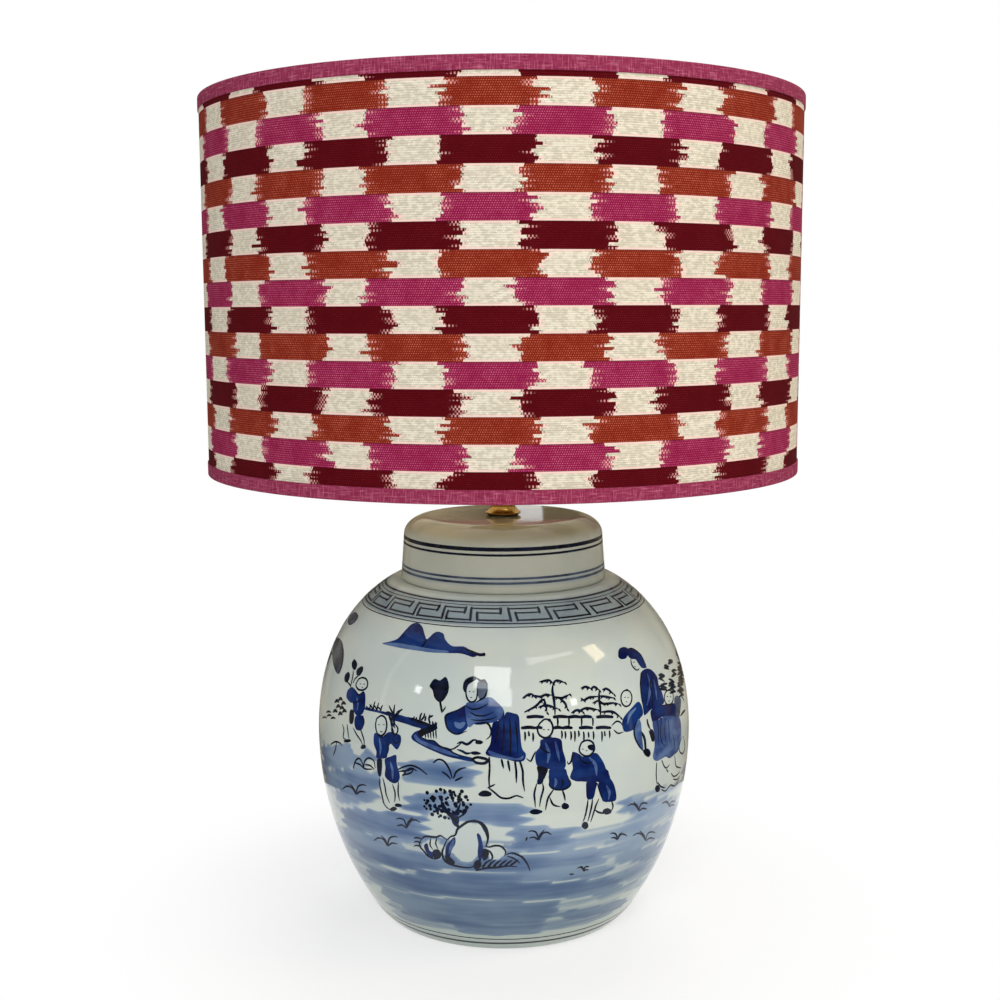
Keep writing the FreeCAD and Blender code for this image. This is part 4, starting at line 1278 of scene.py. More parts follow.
def paint_right_lady(w):
    """The tall lady at the right, and the boys' heads beside her."""
    w.fill(
        "cobalt", (135, 270), (150, 200), (210, 170), (270, 190), (285, 260), (250, 330), (190, 345),
        (145, 320),
    )
    w.fill(
        "cobalt", (270, 200), (330, 195), (400, 235), (450, 280), (500, 350), (520, 400), (545, 460),
        (480, 470), (430, 410), (390, 350), (330, 340), (280, 300),
    )
    w.line("ink", 0.9, (270, 200), (340, 195), (450, 275), (520, 400), (545, 465))
    w.line("ink", 0.8, (318, 340), (325, 400), (360, 465), (410, 500), (445, 480))
    w.line("ink", 0.5, (350, 390), (375, 385))
    w.line("ink", 0.5, (370, 450), (392, 452))
    w.fill(
        "cobalt", (470, 530), (540, 480), (620, 500), (700, 600), (720, 700), (760, 790), (790, 880),
        (800, 970), (700, 1040), (620, 1060), (560, 1120), (520, 1140), (500, 1000), (470, 800), (460, 640),
    )
    w.line("mid", 1.7, (560, 560), (600, 700), (590, 860), (560, 1000))
    w.line("mid", 1.3, (650, 640), (680, 780), (700, 920))
    w.line("ink", 0.9, (465, 540), (462, 700), (480, 880), (505, 1010), (525, 1140))
    w.line("ink", 0.8, (640, 560), (600, 700), (640, 880), (620, 1050))
    w.fill(
        "cobalt", (430, 950), (340, 1040), (260, 1130), (215, 1210), (210, 1290), (250, 1380), (370, 1350),
        (420, 1270), (460, 1190), (505, 1120), (480, 1000),
    )
    w.line("mid", 1.4, (400, 1040), (320, 1140), (280, 1260))
    w.line("ink", 0.8, (60, 1290), (130, 1230), (190, 1250), (210, 1290))
    w.line("ink", 0.7, (90, 1350), (150, 1400), (230, 1380))
    for x, y, across, tall in ((265, 900, 78, 118), (870, 890, 64, 108)):
        ring = [(x + across * math.cos(t), y + tall * math.sin(t)) for t in np.linspace(-1.5, 4.7, 11)]
        w.line("ink", 0.8, *ring, taper=(0.8, 0.8))
        w.line("ink", 0.5, (x - 30, y - 10), (x - 10, y - 14))
        w.line("ink", 0.5, (x + 14, y - 10), (x + 34, y - 8))
        w.line("ink", 0.5, (x - 8, y + 52), (x + 12, y + 52))
        w.fill(
            "ink", (x - 20, y - tall), (x + 6, y - tall - 14), (x + 26, y - tall + 2),
            (x + 2, y - tall + 20),
        )


def paint_right_skirts(w):
    """The tall lady's skirts and the boy beside her."""
    w.fill(
        "mid", (110, 720), (140, 760), (150, 860), (160, 960), (165, 1050), (110, 1000), (72, 900),
        (75, 800),
    )
    w.line("ink", 0.9, (105, 725), (70, 820), (78, 910), (120, 1000), (170, 1060))
    w.line("ink", 1.6, (150, 860), (180, 930), (190, 1040), taper=(0.4, 0.8))
    w.fill("ink", (165, 1050), (215, 1030), (245, 1075), (225, 1118), (185, 1100))
    w.line("ink", 1.1, (205, 730), (215, 780), (240, 830), taper=(0.8, 0.5))
    w.fill("ink", (235, 840), (262, 830), (285, 900), (278, 955), (255, 950), (245, 890))
    w.line("ink", 0.8, (225, 840), (245, 900), (258, 955))
    w.fill(
        "cobalt", (240, 640), (300, 600), (380, 570), (490, 560), (505, 640), (500, 705), (440, 715),
        (350, 700), (310, 745), (262, 755),
    )
    w.fill("slate", (488, 500), (525, 478), (556, 520), (552, 620), (540, 705), (505, 705), (492, 600))
    w.fill(
        "mid", (262, 750), (310, 735), (400, 690), (500, 695), (548, 720), (562, 850), (555, 960),
        (530, 1045),
        (488, 1085), (440, 1120), (400, 1102), (310, 1158), (268, 1120), (285, 1000), (275, 860),
    )
    w.fill("slate", (440, 735), (500, 715), (545, 740), (550, 830), (520, 890), (470, 890), (440, 820))
    for fold in (
        [(300, 740), (315, 850), (310, 1000)],
        [(345, 720), (335, 850), (350, 960), (385, 1000)],
        [(385, 715), (380, 850), (395, 960)],
        [(420, 740), (425, 860), (430, 960)],
        [(465, 880), (480, 960), (490, 1040)],
    ):
        w.line("cobalt", 2.2, *fold, taper=(0.9, 0.3))
        w.line("ink", 0.6, *[(x + 9, y) for x, y in fold], taper=(0.9, 0.3))
    w.line(
        "cobalt", 1.3, (275, 1120), (310, 1150), (400, 1098), (440, 1116), (490, 1080), (530, 1042),
        (556, 955),
    )
    w.line("ink", 0.8, (560, 480), (585, 520), (590, 545))
    w.line("ink", 1.4, (602, 625), (580, 650), (552, 688))
    w.line("ink", 0.8, (585, 900), (600, 1010), (580, 1080), (548, 1060), (545, 980), (575, 900))
    for points in (
        [(305, 1180), (302, 1300), (310, 1400)],
        [(362, 1155), (385, 1215), (410, 1232), (440, 1200)],
        [(410, 1250), (428, 1275)],
        [(495, 1108), (505, 1195), (520, 1222), (562, 1232)],
        [(460, 1290), (485, 1320), (520, 1305), (550, 1270)],
        [(480, 1350), (520, 1352), (548, 1320)],
        [(315, 1385), (350, 1425), (392, 1440)],
        [(360, 1460), (400, 1472), (450, 1412), (500, 1420), (545, 1345)],
    ):
        w.line("ink", 0.75, *points, taper=(0.7, 0.5))
    w.fill("ink", (290, 1440), (315, 1410), (342, 1440), (328, 1480), (300, 1480))


def paint_right_leaves(w):
    """Short dabs in slanting rows, thickest towards the jar's edge."""
    for x, y, across, rows in (
        (440, 110, 46, 2), (400, 170, 50, 2), (480, 215, 50, 3), (350, 265, 60, 3), (455, 320, 60, 3),
        (370, 365, 80, 3), (470, 395, 60, 3), (545, 150, 60, 5), (555, 250, 60, 5), (548, 345, 60, 4),
        (560, 430, 50, 3),
    ):
        for row in range(rows):
            slant = 16 * math.sin(x * 0.7 + row * 2.3)
            middle = y + 24 * row
            start, end = (x - across / 2, middle + slant), (x + across / 2, middle - slant)
            weight = 1.0 + 0.5 * math.sin(x + row) ** 2
            w.line("ink", weight, start, (x, middle - 6), end, taper=(0.5, 0.4))


def paint_bush(w):
    """A bush in front of the figures: bent stems in a cloud of dots."""
    w.line("ink", 1.5, (1290, 520), (1240, 420), (1150, 330), (1100, 240), (1050, 150), taper=(1, 0.4))
    w.line("ink", 1.1, (1200, 380), (1290, 280), (1330, 180), taper=(1, 0.3))
    w.line("ink", 1.0, (1150, 330), (1020, 270), (940, 220), taper=(1, 0.3))
    w.line("ink", 0.9, (1240, 420), (1380, 340), (1430, 260), taper=(1, 0.3))
    for i in range(90):
        turn, reach = i * 2.4, math.sqrt((i + 0.5) / 90)
        x = 1130 + 330 * reach * math.cos(turn) + 30 * math.sin(i * 1.7)
        y = 190 + 205 * reach * math.sin(turn) + 25 * math.cos(i * 2.9)
        w.dots("ink", 1.6 + 1.2 * math.sin(i * 1.3) ** 2, (x, y))
    w.fill("cobalt", (1190, 330), (1270, 340), (1310, 440), (1270, 520), (1210, 470))


def paint_rocks(w, right):
    """The rocks in front of the figures."""
    w.line("ink", 1.0, (760, 710), (800, 670), (850, 660), (980, 670), (1040, 650), (1130, 710))
    w.line("ink", 1.0, (760, 710), (740, 790), (800, 870), (870, 950), (960, 980), (1040, 960))
    w.fill("cobalt", (800, 800), (850, 760), (880, 860), (950, 900), (940, 960), (860, 930))
    w.fill("ink", (930, 860), (1010, 850), (1050, 930), (990, 985), (930, 950))
    w.line("ink", 0.7, (900, 690), (890, 780), (930, 850))
    w.line("ink", 0.7, (990, 680), (970, 760), (1000, 840))
    for y in (690, 745, 800):
        w.line("ink", 0.8, (755, y), (690, y - 12), (655, y + 4), taper=(0.9, 0.2))
    outline = [
        (1130, 710), (1190, 660), (1250, 640), (1280, 560), (1340, 510), (1440, 450), (1568, 450),
        (1640, 480), (1700, 560), (1720, 680), (1690, 800),
    ]
    w.line("ink", 1.15, *outline)
    w.line(
        "ink", 1.0, (1130, 710), (1090, 800), (1060, 900), (1100, 1010), (1210, 1070), (1440, 1105),
        (1568, 1050),
    )
    w.fill(
        "cobalt", (1160, 740), (1240, 670), (1250, 760), (1200, 850), (1160, 960), (1110, 930),
        (1110, 820),
    )
    w.fill("ink", (1100, 930), (1170, 950), (1240, 1030), (1200, 1070), (1120, 1020))
    w.line("mid", 1.6, (1230, 700), (1190, 820), (1160, 900))
    right.fill("cobalt", (130, 480), (180, 500), (215, 640), (210, 780), (170, 880), (140, 760), (150, 620))
    right.fill("ink", (95, 880), (170, 850), (190, 930), (130, 1000), (80, 960))
    right.line(
        "ink", 1.1, (0, 315), (70, 292), (130, 300), (195, 345), (230, 400), (265, 470), (285, 560),
        (260, 650),
    )
    right.line("ink", 1.0, (250, 660), (310, 670), (380, 650), (460, 655), (510, 690), (540, 740), (520, 800))
    right.line("ink", 0.9, (260, 700), (320, 740), (350, 820), (300, 880))
    right.fill("ink", (230, 690), (300, 740), (280, 830), (220, 860), (200, 780))
    right.line(
        "ink", 1.0, (550, 780), (600, 758), (660, 760), (730, 790), (780, 820), (850, 920), (880, 1010),
    )
    right.line("ink", 0.8, (560, 800), (650, 830), (740, 900))
    for x in (210, 290, 370, 450, 530, 610):
        right.line("ink", 1.0, (x, 960 - x * 0.05), (x + 50, 890), (x + 110, 850), taper=(1, 0.2))
    right.line("ink", 1.0, (110, 1010), (250, 970), (400, 960), (560, 940), (700, 950))


def paint_grass(w):
    """Clumps of grass over the washes."""
    for x, y, size, side in (
        (225, 785, 50, 1), (425, 915, 50, -1), (345, 985, 50, 1), (935, 962, 48, -1), (1320, 850, 42, 1),
        (1440, 835, 28, 1), (1345, 965, 46, 1), (1240, 962, 34, -1), (1105, 1085, 24, 1),
    ):
        paint_tuft(w, x, y, size, side)
    for leaf in (
        [(130, 598), (146, 588), (162, 590), (176, 602)],
        [(152, 592), (148, 618), (140, 640)],
        [(218, 690), (226, 662), (240, 652), (252, 668), (258, 690)],
        [(222, 668), (244, 676), (262, 692), (290, 694)],
        [(258, 690), (262, 662), (280, 650), (298, 664), (302, 688)],
        [(266, 676), (284, 680), (298, 694)],
        [(392, 694), (415, 684), (442, 679), (472, 690), (503, 714)],
        [(396, 702), (430, 698), (452, 690)],
        [(410, 720), (424, 698), (444, 690), (462, 700)],
        [(408, 716), (440, 708), (450, 694)],
        [(528, 668), (546, 656), (570, 664), (590, 696), (600, 728)],
        [(562, 704), (580, 716), (594, 732)],
        [(606, 728), (616, 704), (634, 692), (652, 688)],
        [(612, 738), (640, 724)],
        [(888, 958), (884, 970)],
        [(1052, 1100), (1066, 1100)],
    ):
        w.line("ink", 0.85, *leaf, taper=(0.7, 0.5))


def paint_far_leaves(w):
    """Big soft leaves at the jar's left, most of them turned away from the photograph."""
    w.fill(
        "slate", (150, 184), (168, 200), (176, 245), (171, 295), (156, 326), (140, 302), (131, 250),
        (137, 205),
    )
    w.fill("slate", (188, 122), (198, 96), (218, 86), (229, 102), (217, 124), (197, 136))
    w.line("ink", 1.2, (166, 204), (173, 250), (168, 292), (156, 322))
    w.line("ink", 0.8, (190, 122), (205, 112), (224, 96))
    buds = [(152, 432), (166, 424), (178, 440), (158, 452), (172, 458), (182, 470), (146, 470), (166, 480)]
    for x, y in buds:
        w.line("ink", 1.6, (x - 8, y + 3), (x, y - 4), (x + 8, y + 2), taper=(0.4, 0.4))
    for x, y in ((104, 492), (122, 484), (138, 494), (120, 470)):
        w.line("ink", 1.0, (x - 8, y + 4), (x, y), (x + 10, y + 3), taper=(0.5, 0.3))


def paint_side_trees(painting):
    """A leaning tree on each of the jar's two sides, which the photograph doesn't show."""
    quarter_turn = math.pi / 2 * BELLY_RADIUS_MM
    for side in (-1, 1):
        def at(x, y):
            return (side * (quarter_turn + 12 + x), y)

        painting.stroke("ink", [at(-6, 96), at(-2, 126), at(6, 150), at(2, 178), at(10, 204)], 4.2, (1, 0.3))
        painting.stroke("mid", [at(-5, 100), at(-1, 126), at(7, 150), at(3, 174)], 1.8, (0.6, 0.3))
        painting.stroke("ink", [at(4, 150), at(20, 164), at(34, 166)], 2.2, (1, 0.3))
        painting.stroke("ink", [at(3, 172), at(-14, 184), at(-28, 184)], 2.0, (1, 0.3))
        clusters = [(38, 166), (26, 174), (-30, 186), (-18, 194), (10, 208), (22, 200), (-4, 204)]
        for number, cluster in enumerate(clusters):
            x, y = at(*cluster)
            for leaf in range(9):
                turn = math.radians(200 + 20 * leaf)
                length = 9 + 2 * math.sin(number * 2 + leaf)
                tip = (x + length * math.cos(turn), y + 0.8 * length * math.sin(turn))
                tone = "slate" if leaf % 3 == 1 else "ink"
                painting.stroke(tone, [(x, y), tip], 1.7, (0.5, 0.2))


def paint_jar():
    """The traditional scene of ladies and children in a garden, under a band of keys."""
    border, front, back = Painting("jar_border"), Painting("jar_front"), Painting("jar_back")
    windows = {name: Window(front, back, *view) for name, view in WINDOWS.items()}
    paint_rings(border)
    paint_key_band(border)
    paint_hill(windows["hill"])
    paint_far_leaves(windows["jar"])
    paint_first_boy(windows["left_boys"])
    paint_first_legs(windows["left_ground"])
    paint_second_boy(windows["left_boys"], windows["left_ground"])
    paint_bank(windows["left_boys"], windows["fold"])
    paint_seated_lady(windows["seated_lady"])
    paint_seated_skirts(windows["seated_lady"], windows["skirt"])
    paint_garden(windows["garden"])
    paint_left_stooping_boy(windows["garden"], windows["bent_boys"])
    paint_right_stooping_boy(windows["garden"], windows["bent_boys"])
    paint_right_lady(windows["right_lady"])
    paint_right_skirts(windows["right_edge"])
    paint_right_leaves(windows["right_edge"])
    paint_bush(windows["bush"])
    paint_rocks(windows["bush"], windows["rocks"])
    paint_grass(windows["jar"])
    paint_side_trees(back)
    for painting in (border, front, back):
        for tone in painting.polygons:
            dress(painting.skin(tone), PAINTS[tone])


# --- the jar's glaze --------------------------------------------------------------------

# Washes of thin blue over the lower half: how strong, how thick in mm, and places along the middle,
# as pixels of the photograph's enlarged jar.
WASHES = [
    (0.36, 44, [(150, 1000), (560, 1070), (1000, 1065), (1400, 950)]),
    (0.36, 34, [(330, 1190), (700, 1260), (1250, 1180)]),
    (0.34, 40, [(1250, 900), (1360, 880), (1470, 830)]),
    (0.34, 44, [(1200, 1060), (1330, 1030), (1440, 960)]),
    (0.34, 40, [(110, 690), (200, 820), (260, 860)]),
    (0.55, 15, [(95, 640), (190, 648), (278, 655)]),
    (0.75, 7, [(170, 610), (230, 622), (300, 640)]),
    (0.60, 13, [(110, 725), (250, 735), (340, 740)]),
    (0.85, 16, [(395, 705), (520, 708), (690, 712)]),
    (0.55, 11, [(150, 795), (230, 800), (320, 800)]),
    (0.80, 13, [(428, 820), (520, 822), (600, 826)]),
    (0.80, 14, [(585, 862), (740, 868), (893, 872)]),
    (0.85, 17, [(180, 880), (330, 905), (500, 915)]),
    (0.85, 17, [(828, 962), (940, 965), (1062, 965)]),
    (0.70, 12, [(190, 965), (310, 985), (430, 1000)]),
    (0.85, 13, [(240, 1010), (560, 1050), (800, 1052), (1180, 1035)]),
    (0.75, 12, [(420, 1110), (640, 1128), (900, 1125)]),
    (0.70, 9, [(860, 1108), (1010, 1104), (1195, 1088)]),
    (0.90, 13, [(270, 1095), (420, 1135), (600, 1160), (920, 1165), (1240, 1138)]),
    (0.75, 12, [(330, 1175), (520, 1215), (760, 1235), (1000, 1228)]),
    (0.85, 11, [(400, 1235), (520, 1262), (760, 1275), (960, 1268)]),
    (0.75, 10, [(600, 1300), (760, 1320), (930, 1312)]),
    (0.60, 9, [(1005, 1262), (1130, 1245), (1262, 1210)]),
    (0.55, 12, [(1245, 850), (1340, 842), (1450, 820)]),
    (0.50, 12, [(1205, 965), (1330, 950), (1460, 915)]),
    (0.55, 11, [(1215, 1045), (1330, 1025), (1440, 985)]),
    (0.45, 10, [(1240, 1120), (1330, 1095), (1420, 1060)]),
    (0.45, 9, [(1150, 1190), (1260, 1160), (1370, 1110)]),
]
KEY_BAND_MM = (221.5, 234.5)

# Rounds of the photograph that the washes leave bare: middle and half size in pixels.
BARE_ROUNDS = [
    ((467, 843), (16, 22)),
    ((436, 850), (12, 10)),
    ((497, 852), (11, 8)),
    ((393, 790), (10, 20)),
    ((360, 742), (9, 14)),
    ((548, 790), (15, 20)),
    ((596, 805), (15, 18)),
    ((508, 770), (22, 26)),
]


def wash_bands():
    """Each wash at the front, then mirrored on the back, as (strength, thickness, places)."""
    left, top, scale = WINDOWS["jar"]
    bands = []
    for strength, thickness, points in WASHES:
        places = photo_to_wall(np.array(points) / scale + (left, top))
        bands.append((strength, thickness, places))
        bands.append((strength, thickness, on_back(places)[::-1]))
    # fill the two sides that the photograph hardly shows
    for turn in (-1, 1):
        for step in range(14):
            height = 116 - 7.5 * step
            middle = turn * (math.pi / 2 * BELLY_RADIUS_MM) + 22 * math.sin(2.1 * step + turn)
            half = 34 + 14 * math.sin(1.3 * step + turn)
            slope = 2.5 * math.sin(0.9 * step)
            start, end = (middle - half, height - slope), (middle + half, height + slope)
            strength = 0.34 + 0.34 * math.sin(1.7 * step) ** 2
            thickness = 9 + 3 * math.sin(2.3 * step)
            bands.append((strength, thickness, np.array([start, (middle, height + 1), end])))
    return bands


def wash_levels(around, height):
    """How strongly the wash covers each place, with long ragged ends and short soft edges."""
    level = np.zeros_like(around)
    for strength, thickness, places in wash_bands():
        start, end = places[0, 0], places[-1, 0]
        middle = (start + end) / 2
        along = way_round(around, middle) + middle
        line = np.interp(along, places[:, 0], places[:, 1])
        wobble = 0.6 * np.sin(along * 0.07 + thickness) + 0.25 * np.sin(along * 0.23 + height * 0.2)
        offset = height - line + wobble
        frayed = 5 * np.sin(height * 0.9 + start) + 3 * np.sin(height * 2.3 + end)
        ends = step_up(along + frayed, start - 4, start + 6) * step_up(frayed - along, -end - 9, -end + 7)
        edges = step_up(-offset, -thickness / 2 - 0.7, -thickness / 2 + 0.7)
        edges = edges * step_up(offset, -thickness / 2 - 1.6, -thickness / 2 + 2.2)
        level = np.maximum(level, strength * ends * edges)
    return level * bare_share(around, height)


def bare_share(around, height):
    """0 on the rocks and figures that the washes go round, at the front and the back, and 1 elsewhere."""
    share = np.ones_like(around)
    for (x, y), (half_x, half_y) in BARE_ROUNDS:
        middle, beside, below = photo_to_wall([(x, y), (x + half_x, y), (x, y + half_y)])
        half = abs(beside[0] - middle[0]), abs(below[1] - middle[1])
        for facing in (middle[0], math.pi * BELLY_RADIUS_MM - middle[0]):
            along = way_round(around, facing)
            away = np.hypot(along / half[0], (height - middle[1]) / half[1])
            share = np.minimum(share, step_up(away, 0.8, 1.05))
    return share


def jar_profile():
    """The jar's outline from the middle of its underside, round the outside, to the middle of its floor."""
    outside = np.vstack(
        [bezier(LOWER_WALL, np.linspace(0, 1, 70)), bezier(UPPER_WALL, np.linspace(0, 1, 70))[1:]]
    )
    outwards, upwards = wall_normal(outside[:, 1])
    inside = outside - JAR_WALL_MM * np.stack([outwards, upwards], axis=-1)
    ceiling = LEDGE_MM - JAR_WALL_MM
    # the inner wall needs fewer points: every sixth one, from the shoulder down
    inside = inside[(inside[:, 1] > 15) & (inside[:, 1] < ceiling)][::-6]
    recess = FOOT_RECESS_RADIUS_MM
    neck, top = NECK_RADIUS_MM, NECK_TOP_MM
    bore = neck - JAR_WALL_MM
    foot = [(20, 8.0), (60, 8.0), (77.9, 8.0), (recess, 7.7), (78.5, 1.4), (79.2, 1.0), (85.0, 1.0)]
    neck_outside = [(neck + 0.4, 236.4), (neck, 236.9), (neck, 248.0), (neck, top - 2.0)]
    neck_lip = [(62.4, 260.9), (61.0, top), (60.0, top), (58.6, 260.9)]
    neck_bore = [(bore, top - 2.0), (bore, 245.0), (bore, ceiling)]
    floor = [(inside[-1, 0], 14.3), (60, 14.0), (20, 14.0)]
    return np.vstack([foot, outside, neck_outside, neck_lip, neck_bore, inside, floor])


def make_jar():
    """The glazed jar, closed underneath and inside, with the strength of its washes kept in its points."""
    vertices, index = turned(jar_profile(), JAR_SEGMENTS)
    beside = np.roll(index, -1, axis=0)
    faces = np.stack([index[:, :-1], beside[:, :-1], beside[:, 1:], index[:, 1:]], axis=-1)
    faces = faces.reshape(-1, 4).tolist()
    faces.append(index[::-1, 0].tolist())
    faces.append(index[:, -1].tolist())
    jar = new_piece("glazed_jar", vertices.reshape(-1, 3), faces, "base")
    x, y, height = vertices[..., 0], vertices[..., 1], vertices[..., 2]
    outer = np.hypot(x, y) > wall_radius(height) - 1
    around = np.arctan2(x, -y) * BELLY_RADIUS_MM
    low, high = KEY_BAND_MM
    tint = step_up(height, low - 0.8, low + 0.8) * step_up(-height, -high - 0.8, -high + 0.8)
    store(jar, "wash", (wash_levels(around, height) * outer).ravel())
    store(jar, "tint", (tint * outer).ravel())
    drill_cord_hole(jar)
    jar.data.set_sharp_from_angle(angle=math.radians(50))
    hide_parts("jar_body")
    dress(jar, glaze_material())


def drill_cord_hole(jar):
    """The hole for the cord through the back wall, cut as the CAD has it."""
    radius, length = CORD_HOLE_RADIUS_MM * MM, DRILL_LENGTH_MM * MM
    bpy.ops.mesh.primitive_cylinder_add(vertices=48, radius=radius, depth=length)
    drill = bpy.context.object
    slope = Vector(CORD_HOLE_SLOPE).to_track_quat("Z", "Y").to_matrix().to_4x4()
    drill.matrix_world = Matrix.Translation(Vector(CORD_HOLE_MM) * MM) @ slope
    cut = jar.modifiers.new("cord_hole", "BOOLEAN")
    cut.operation = "DIFFERENCE"
    cut.solver = "EXACT"
    cut.object = drill
    bpy.context.view_layer.update()
    result = bpy.data.meshes.new_from_object(jar.evaluated_get(bpy.context.evaluated_depsgraph_get()))
    jar.modifiers.clear()
    jar.data = result
    bpy.data.objects.remove(drill)


def ripple_glaze(shader, where, ripples=18.0):
    """The slight unevenness of a glazed surface, as ripples in each metre."""
    shader.bump(shader.noise(where, ripples, detail=2.0), 0.12, 0.5)


def glaze_material():
    """Pale blue-green white glaze with streaky washes of thin blue under it, painted darker towards the foot
    as painted shade.
    """
    shader = Shader("glaze", Roughness=0.06, IOR=1.5, Specular_IOR_Level=0.42)
    where = shader.place()
    wash = shader.level("wash")
    bristle = shader.noise(where, 140.0, detail=4.0, stretch=(0.06, 0.06, 1.2), seed=4.0)
    streak = shader.noise(where, 60.0, detail=4.0, stretch=(0.14, 0.14, 1.8), seed=1.0)
    pool = shader.noise(where, 34.0, detail=2.0, stretch=(0.6, 0.6, 1.0), seed=6.0)
    covered = (wash + (bristle - 0.5) * 0.75).rise(0.18, 0.48)
    deep = (wash * 0.55 + (streak - 0.5) * 1.3 + (pool - 0.5) * 0.5).rise(0.15, 0.75)
    # painted shade: low makes the pale glaze and both washes darker towards the foot
    low = shader.split(where)[2].rise(0.10, 0.03)
    pale = shader.blend(pool.rise(0.3, 0.7), srgb(205, 213, 205), srgb(197, 208, 206))
    pale = shader.blend(low * 0.7, pale, srgb(174, 188, 180))
    thin = shader.blend(pool.rise(0.35, 0.65), srgb(142, 163, 187), srgb(122, 147, 178))
    thick = shader.blend(pool.rise(0.35, 0.65), srgb(94, 120, 156), srgb(72, 100, 144))
    thin = shader.blend(low, thin, srgb(108, 132, 154))
    thick = shader.blend(low, thick, srgb(58, 86, 124))
    blue = shader.blend(deep, thin, thick)
    glazed = shader.blend(covered, pale, blue)
    band = shader.level("tint") * (streak.rise(0.3, 0.7) * 0.3 + 0.55)
    shader.colour(shader.blend(band, glazed, srgb(118, 138, 152)))
    ripple_glaze(shader, where)
    return shader


def paint_material(name, dark, light, patch_scale=55.0):
    """Cobalt under the glaze: brushed light and dark within each patch."""
    shader = Shader(name, Roughness=0.06, IOR=1.5, Specular_IOR_Level=0.3)
    where = shader.place()
    pool = shader.noise(where, patch_scale, detail=3.0, seed=2.0)
    streak = shader.noise(where, patch_scale * 3, detail=3.0, stretch=(0.35, 0.35, 1), seed=7.0)
    share = (pool * 0.65 + streak * 0.35).rise(0.38, 0.64)
    shader.colour(shader.blend(share, dark, light))
    ripple_glaze(shader, where)
    return shader


# --- lid --------------------------------------------------------------------------------

LID_TOP_MM = 279.6
LID_FLAT_RADIUS_MM = 52.3
LID_WIDE_MM = (69.1, 267.1)
LID_RIM_MM = (71.3, 236.5)
LID_INNER_CORNER_MM = (12.3, 7.5)
LID_HOLE_MM = 5.2
LID_TINT_MM = (241, 243.5, 246, 248.5)


def quarter(centre, radii, start, end, steps):
    """Part of an ellipse in the (radius, height) plane, from one angle to another in degrees."""
    turns = np.radians(np.linspace(start, end, steps))
    return np.stack([centre[0] + radii[0] * np.cos(turns), centre[1] + radii[1] * np.sin(turns)], axis=-1)


def make_lid():
    """The lid: a slightly flared side, a rounded shoulder and a flat top with the tube's hole."""
    top = LID_TOP_MM
    wide, corner = LID_WIDE_MM
    rim, bottom = LID_RIM_MM
    centre = LID_FLAT_RADIUS_MM, corner
    outer_corner = quarter(centre, (wide - LID_FLAT_RADIUS_MM, top - corner), 0, 90, 24)
    inner_corner = quarter(centre, LID_INNER_CORNER_MM, 90, 0, 12)
    flank_heights = np.linspace(bottom + 2.2, corner, 14)[:-1]
    flank = np.stack([np.interp(flank_heights, (bottom, corner), (rim, wide)), flank_heights], axis=-1)
    profile = np.vstack(
        [
            [(67.2, bottom), (68.3, bottom), (70.2, bottom), (71.0, bottom + 0.5), (rim, bottom + 1.4)],
            flank,
            outer_corner,
            [(40, top), (25, top), (15, top), (LID_HOLE_MM, top), (LID_HOLE_MM, top - 5)],
            inner_corner,
            [(66.0, 250.0), (66.7, bottom + 1.2)],
        ]
    )
    lid = revolve("glazed_lid", profile, 360, "base", sharp=50)
    heights = np.array([v.co.z for v in lid.data.vertices]) / MM
    radius = np.array([math.hypot(v.co.x, v.co.y) for v in lid.data.vertices]) / MM
    outer = radius > 68
    begins, full, fades, ends = LID_TINT_MM
    tint = step_up(heights, begins, full) * step_up(-heights, -ends, -fades)
    store(lid, "tint", tint * outer)
    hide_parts("jar_lid")
    dress(lid, lid_material())


def lid_material():
    """The lid's glaze, warmer and duller on top as painted shade and reflection, with a painted shadow round
    the middle.
    """
    shader = Shader("lid_glaze", Roughness=0.07, IOR=1.5, Specular_IOR_Level=0.5)
    where = shader.place()
    x, y, z = shader.split(where)
    distance = shader.math("SQRT", x * x + y * y)
    pool = shader.noise(where, 40.0, detail=3.0, seed=3.0)
    side = shader.blend(pool.rise(0.3, 0.7), srgb(200, 203, 190), srgb(190, 194, 182))
    cloud = shader.noise(where, 15.0, detail=2.0, stretch=(0.8, 1.6, 1), seed=9.0)
    # painted shade and painted reflection: the top is browner, darker and mottled by cloud, as if mirroring a
    # dim room
    warm = shader.blend(cloud.rise(0.38, 0.64), srgb(146, 133, 101), srgb(192, 179, 144))
    body = shader.blend(z.rise(0.266, 0.277), side, warm)
    # painted shadow: darker round the middle, next to the brass dome
    body = shader.blend(distance.rise(0.022, 0.012) * 0.4, body, srgb(120, 104, 70))
    shader.colour(shader.blend(shader.level("tint") * 0.6, body, srgb(150, 166, 178)))
    ripple_glaze(shader, where, 22.0)
    return shader


def make_lid_rings():
    """The thin and thick blue lines painted round the lid."""
    for name, height, width, tone in (
        ("lid_ring_thick", 266.2, 2.6, "ink"),
        ("lid_ring_thin", 262.4, 1.5, "ink"),
        ("lid_ring_upper", 247.1, 1.5, "slate"),
        ("lid_ring_lower", 244.0, 1.6, "slate"),
    ):
        heights = np.linspace(height - width / 2, height + width / 2, 5)
        radius = lid_radius(heights)
        outside = np.stack([radius + 0.06, heights], axis=-1)
        inside = np.stack([radius - 0.1, heights], axis=-1)[::-1]
        ring = revolve(name, np.vstack([outside, inside]), 360, "base", sharp=180)
        dress(ring, PAINTS[tone])


def lid_radius(height):
    wide, corner = LID_WIDE_MM
    rim, bottom = LID_RIM_MM
    flank = np.interp(height, (bottom, corner), (rim, wide))
    rise = np.clip((height - corner) / (LID_TOP_MM - corner), 0, 1)
    curved = LID_FLAT_RADIUS_MM + (wide - LID_FLAT_RADIUS_MM) * np.sqrt(1 - rise**2)
    return np.where(height < corner, flank, curved)


# --- materials of the CAD's own pieces --------------------------------------------------


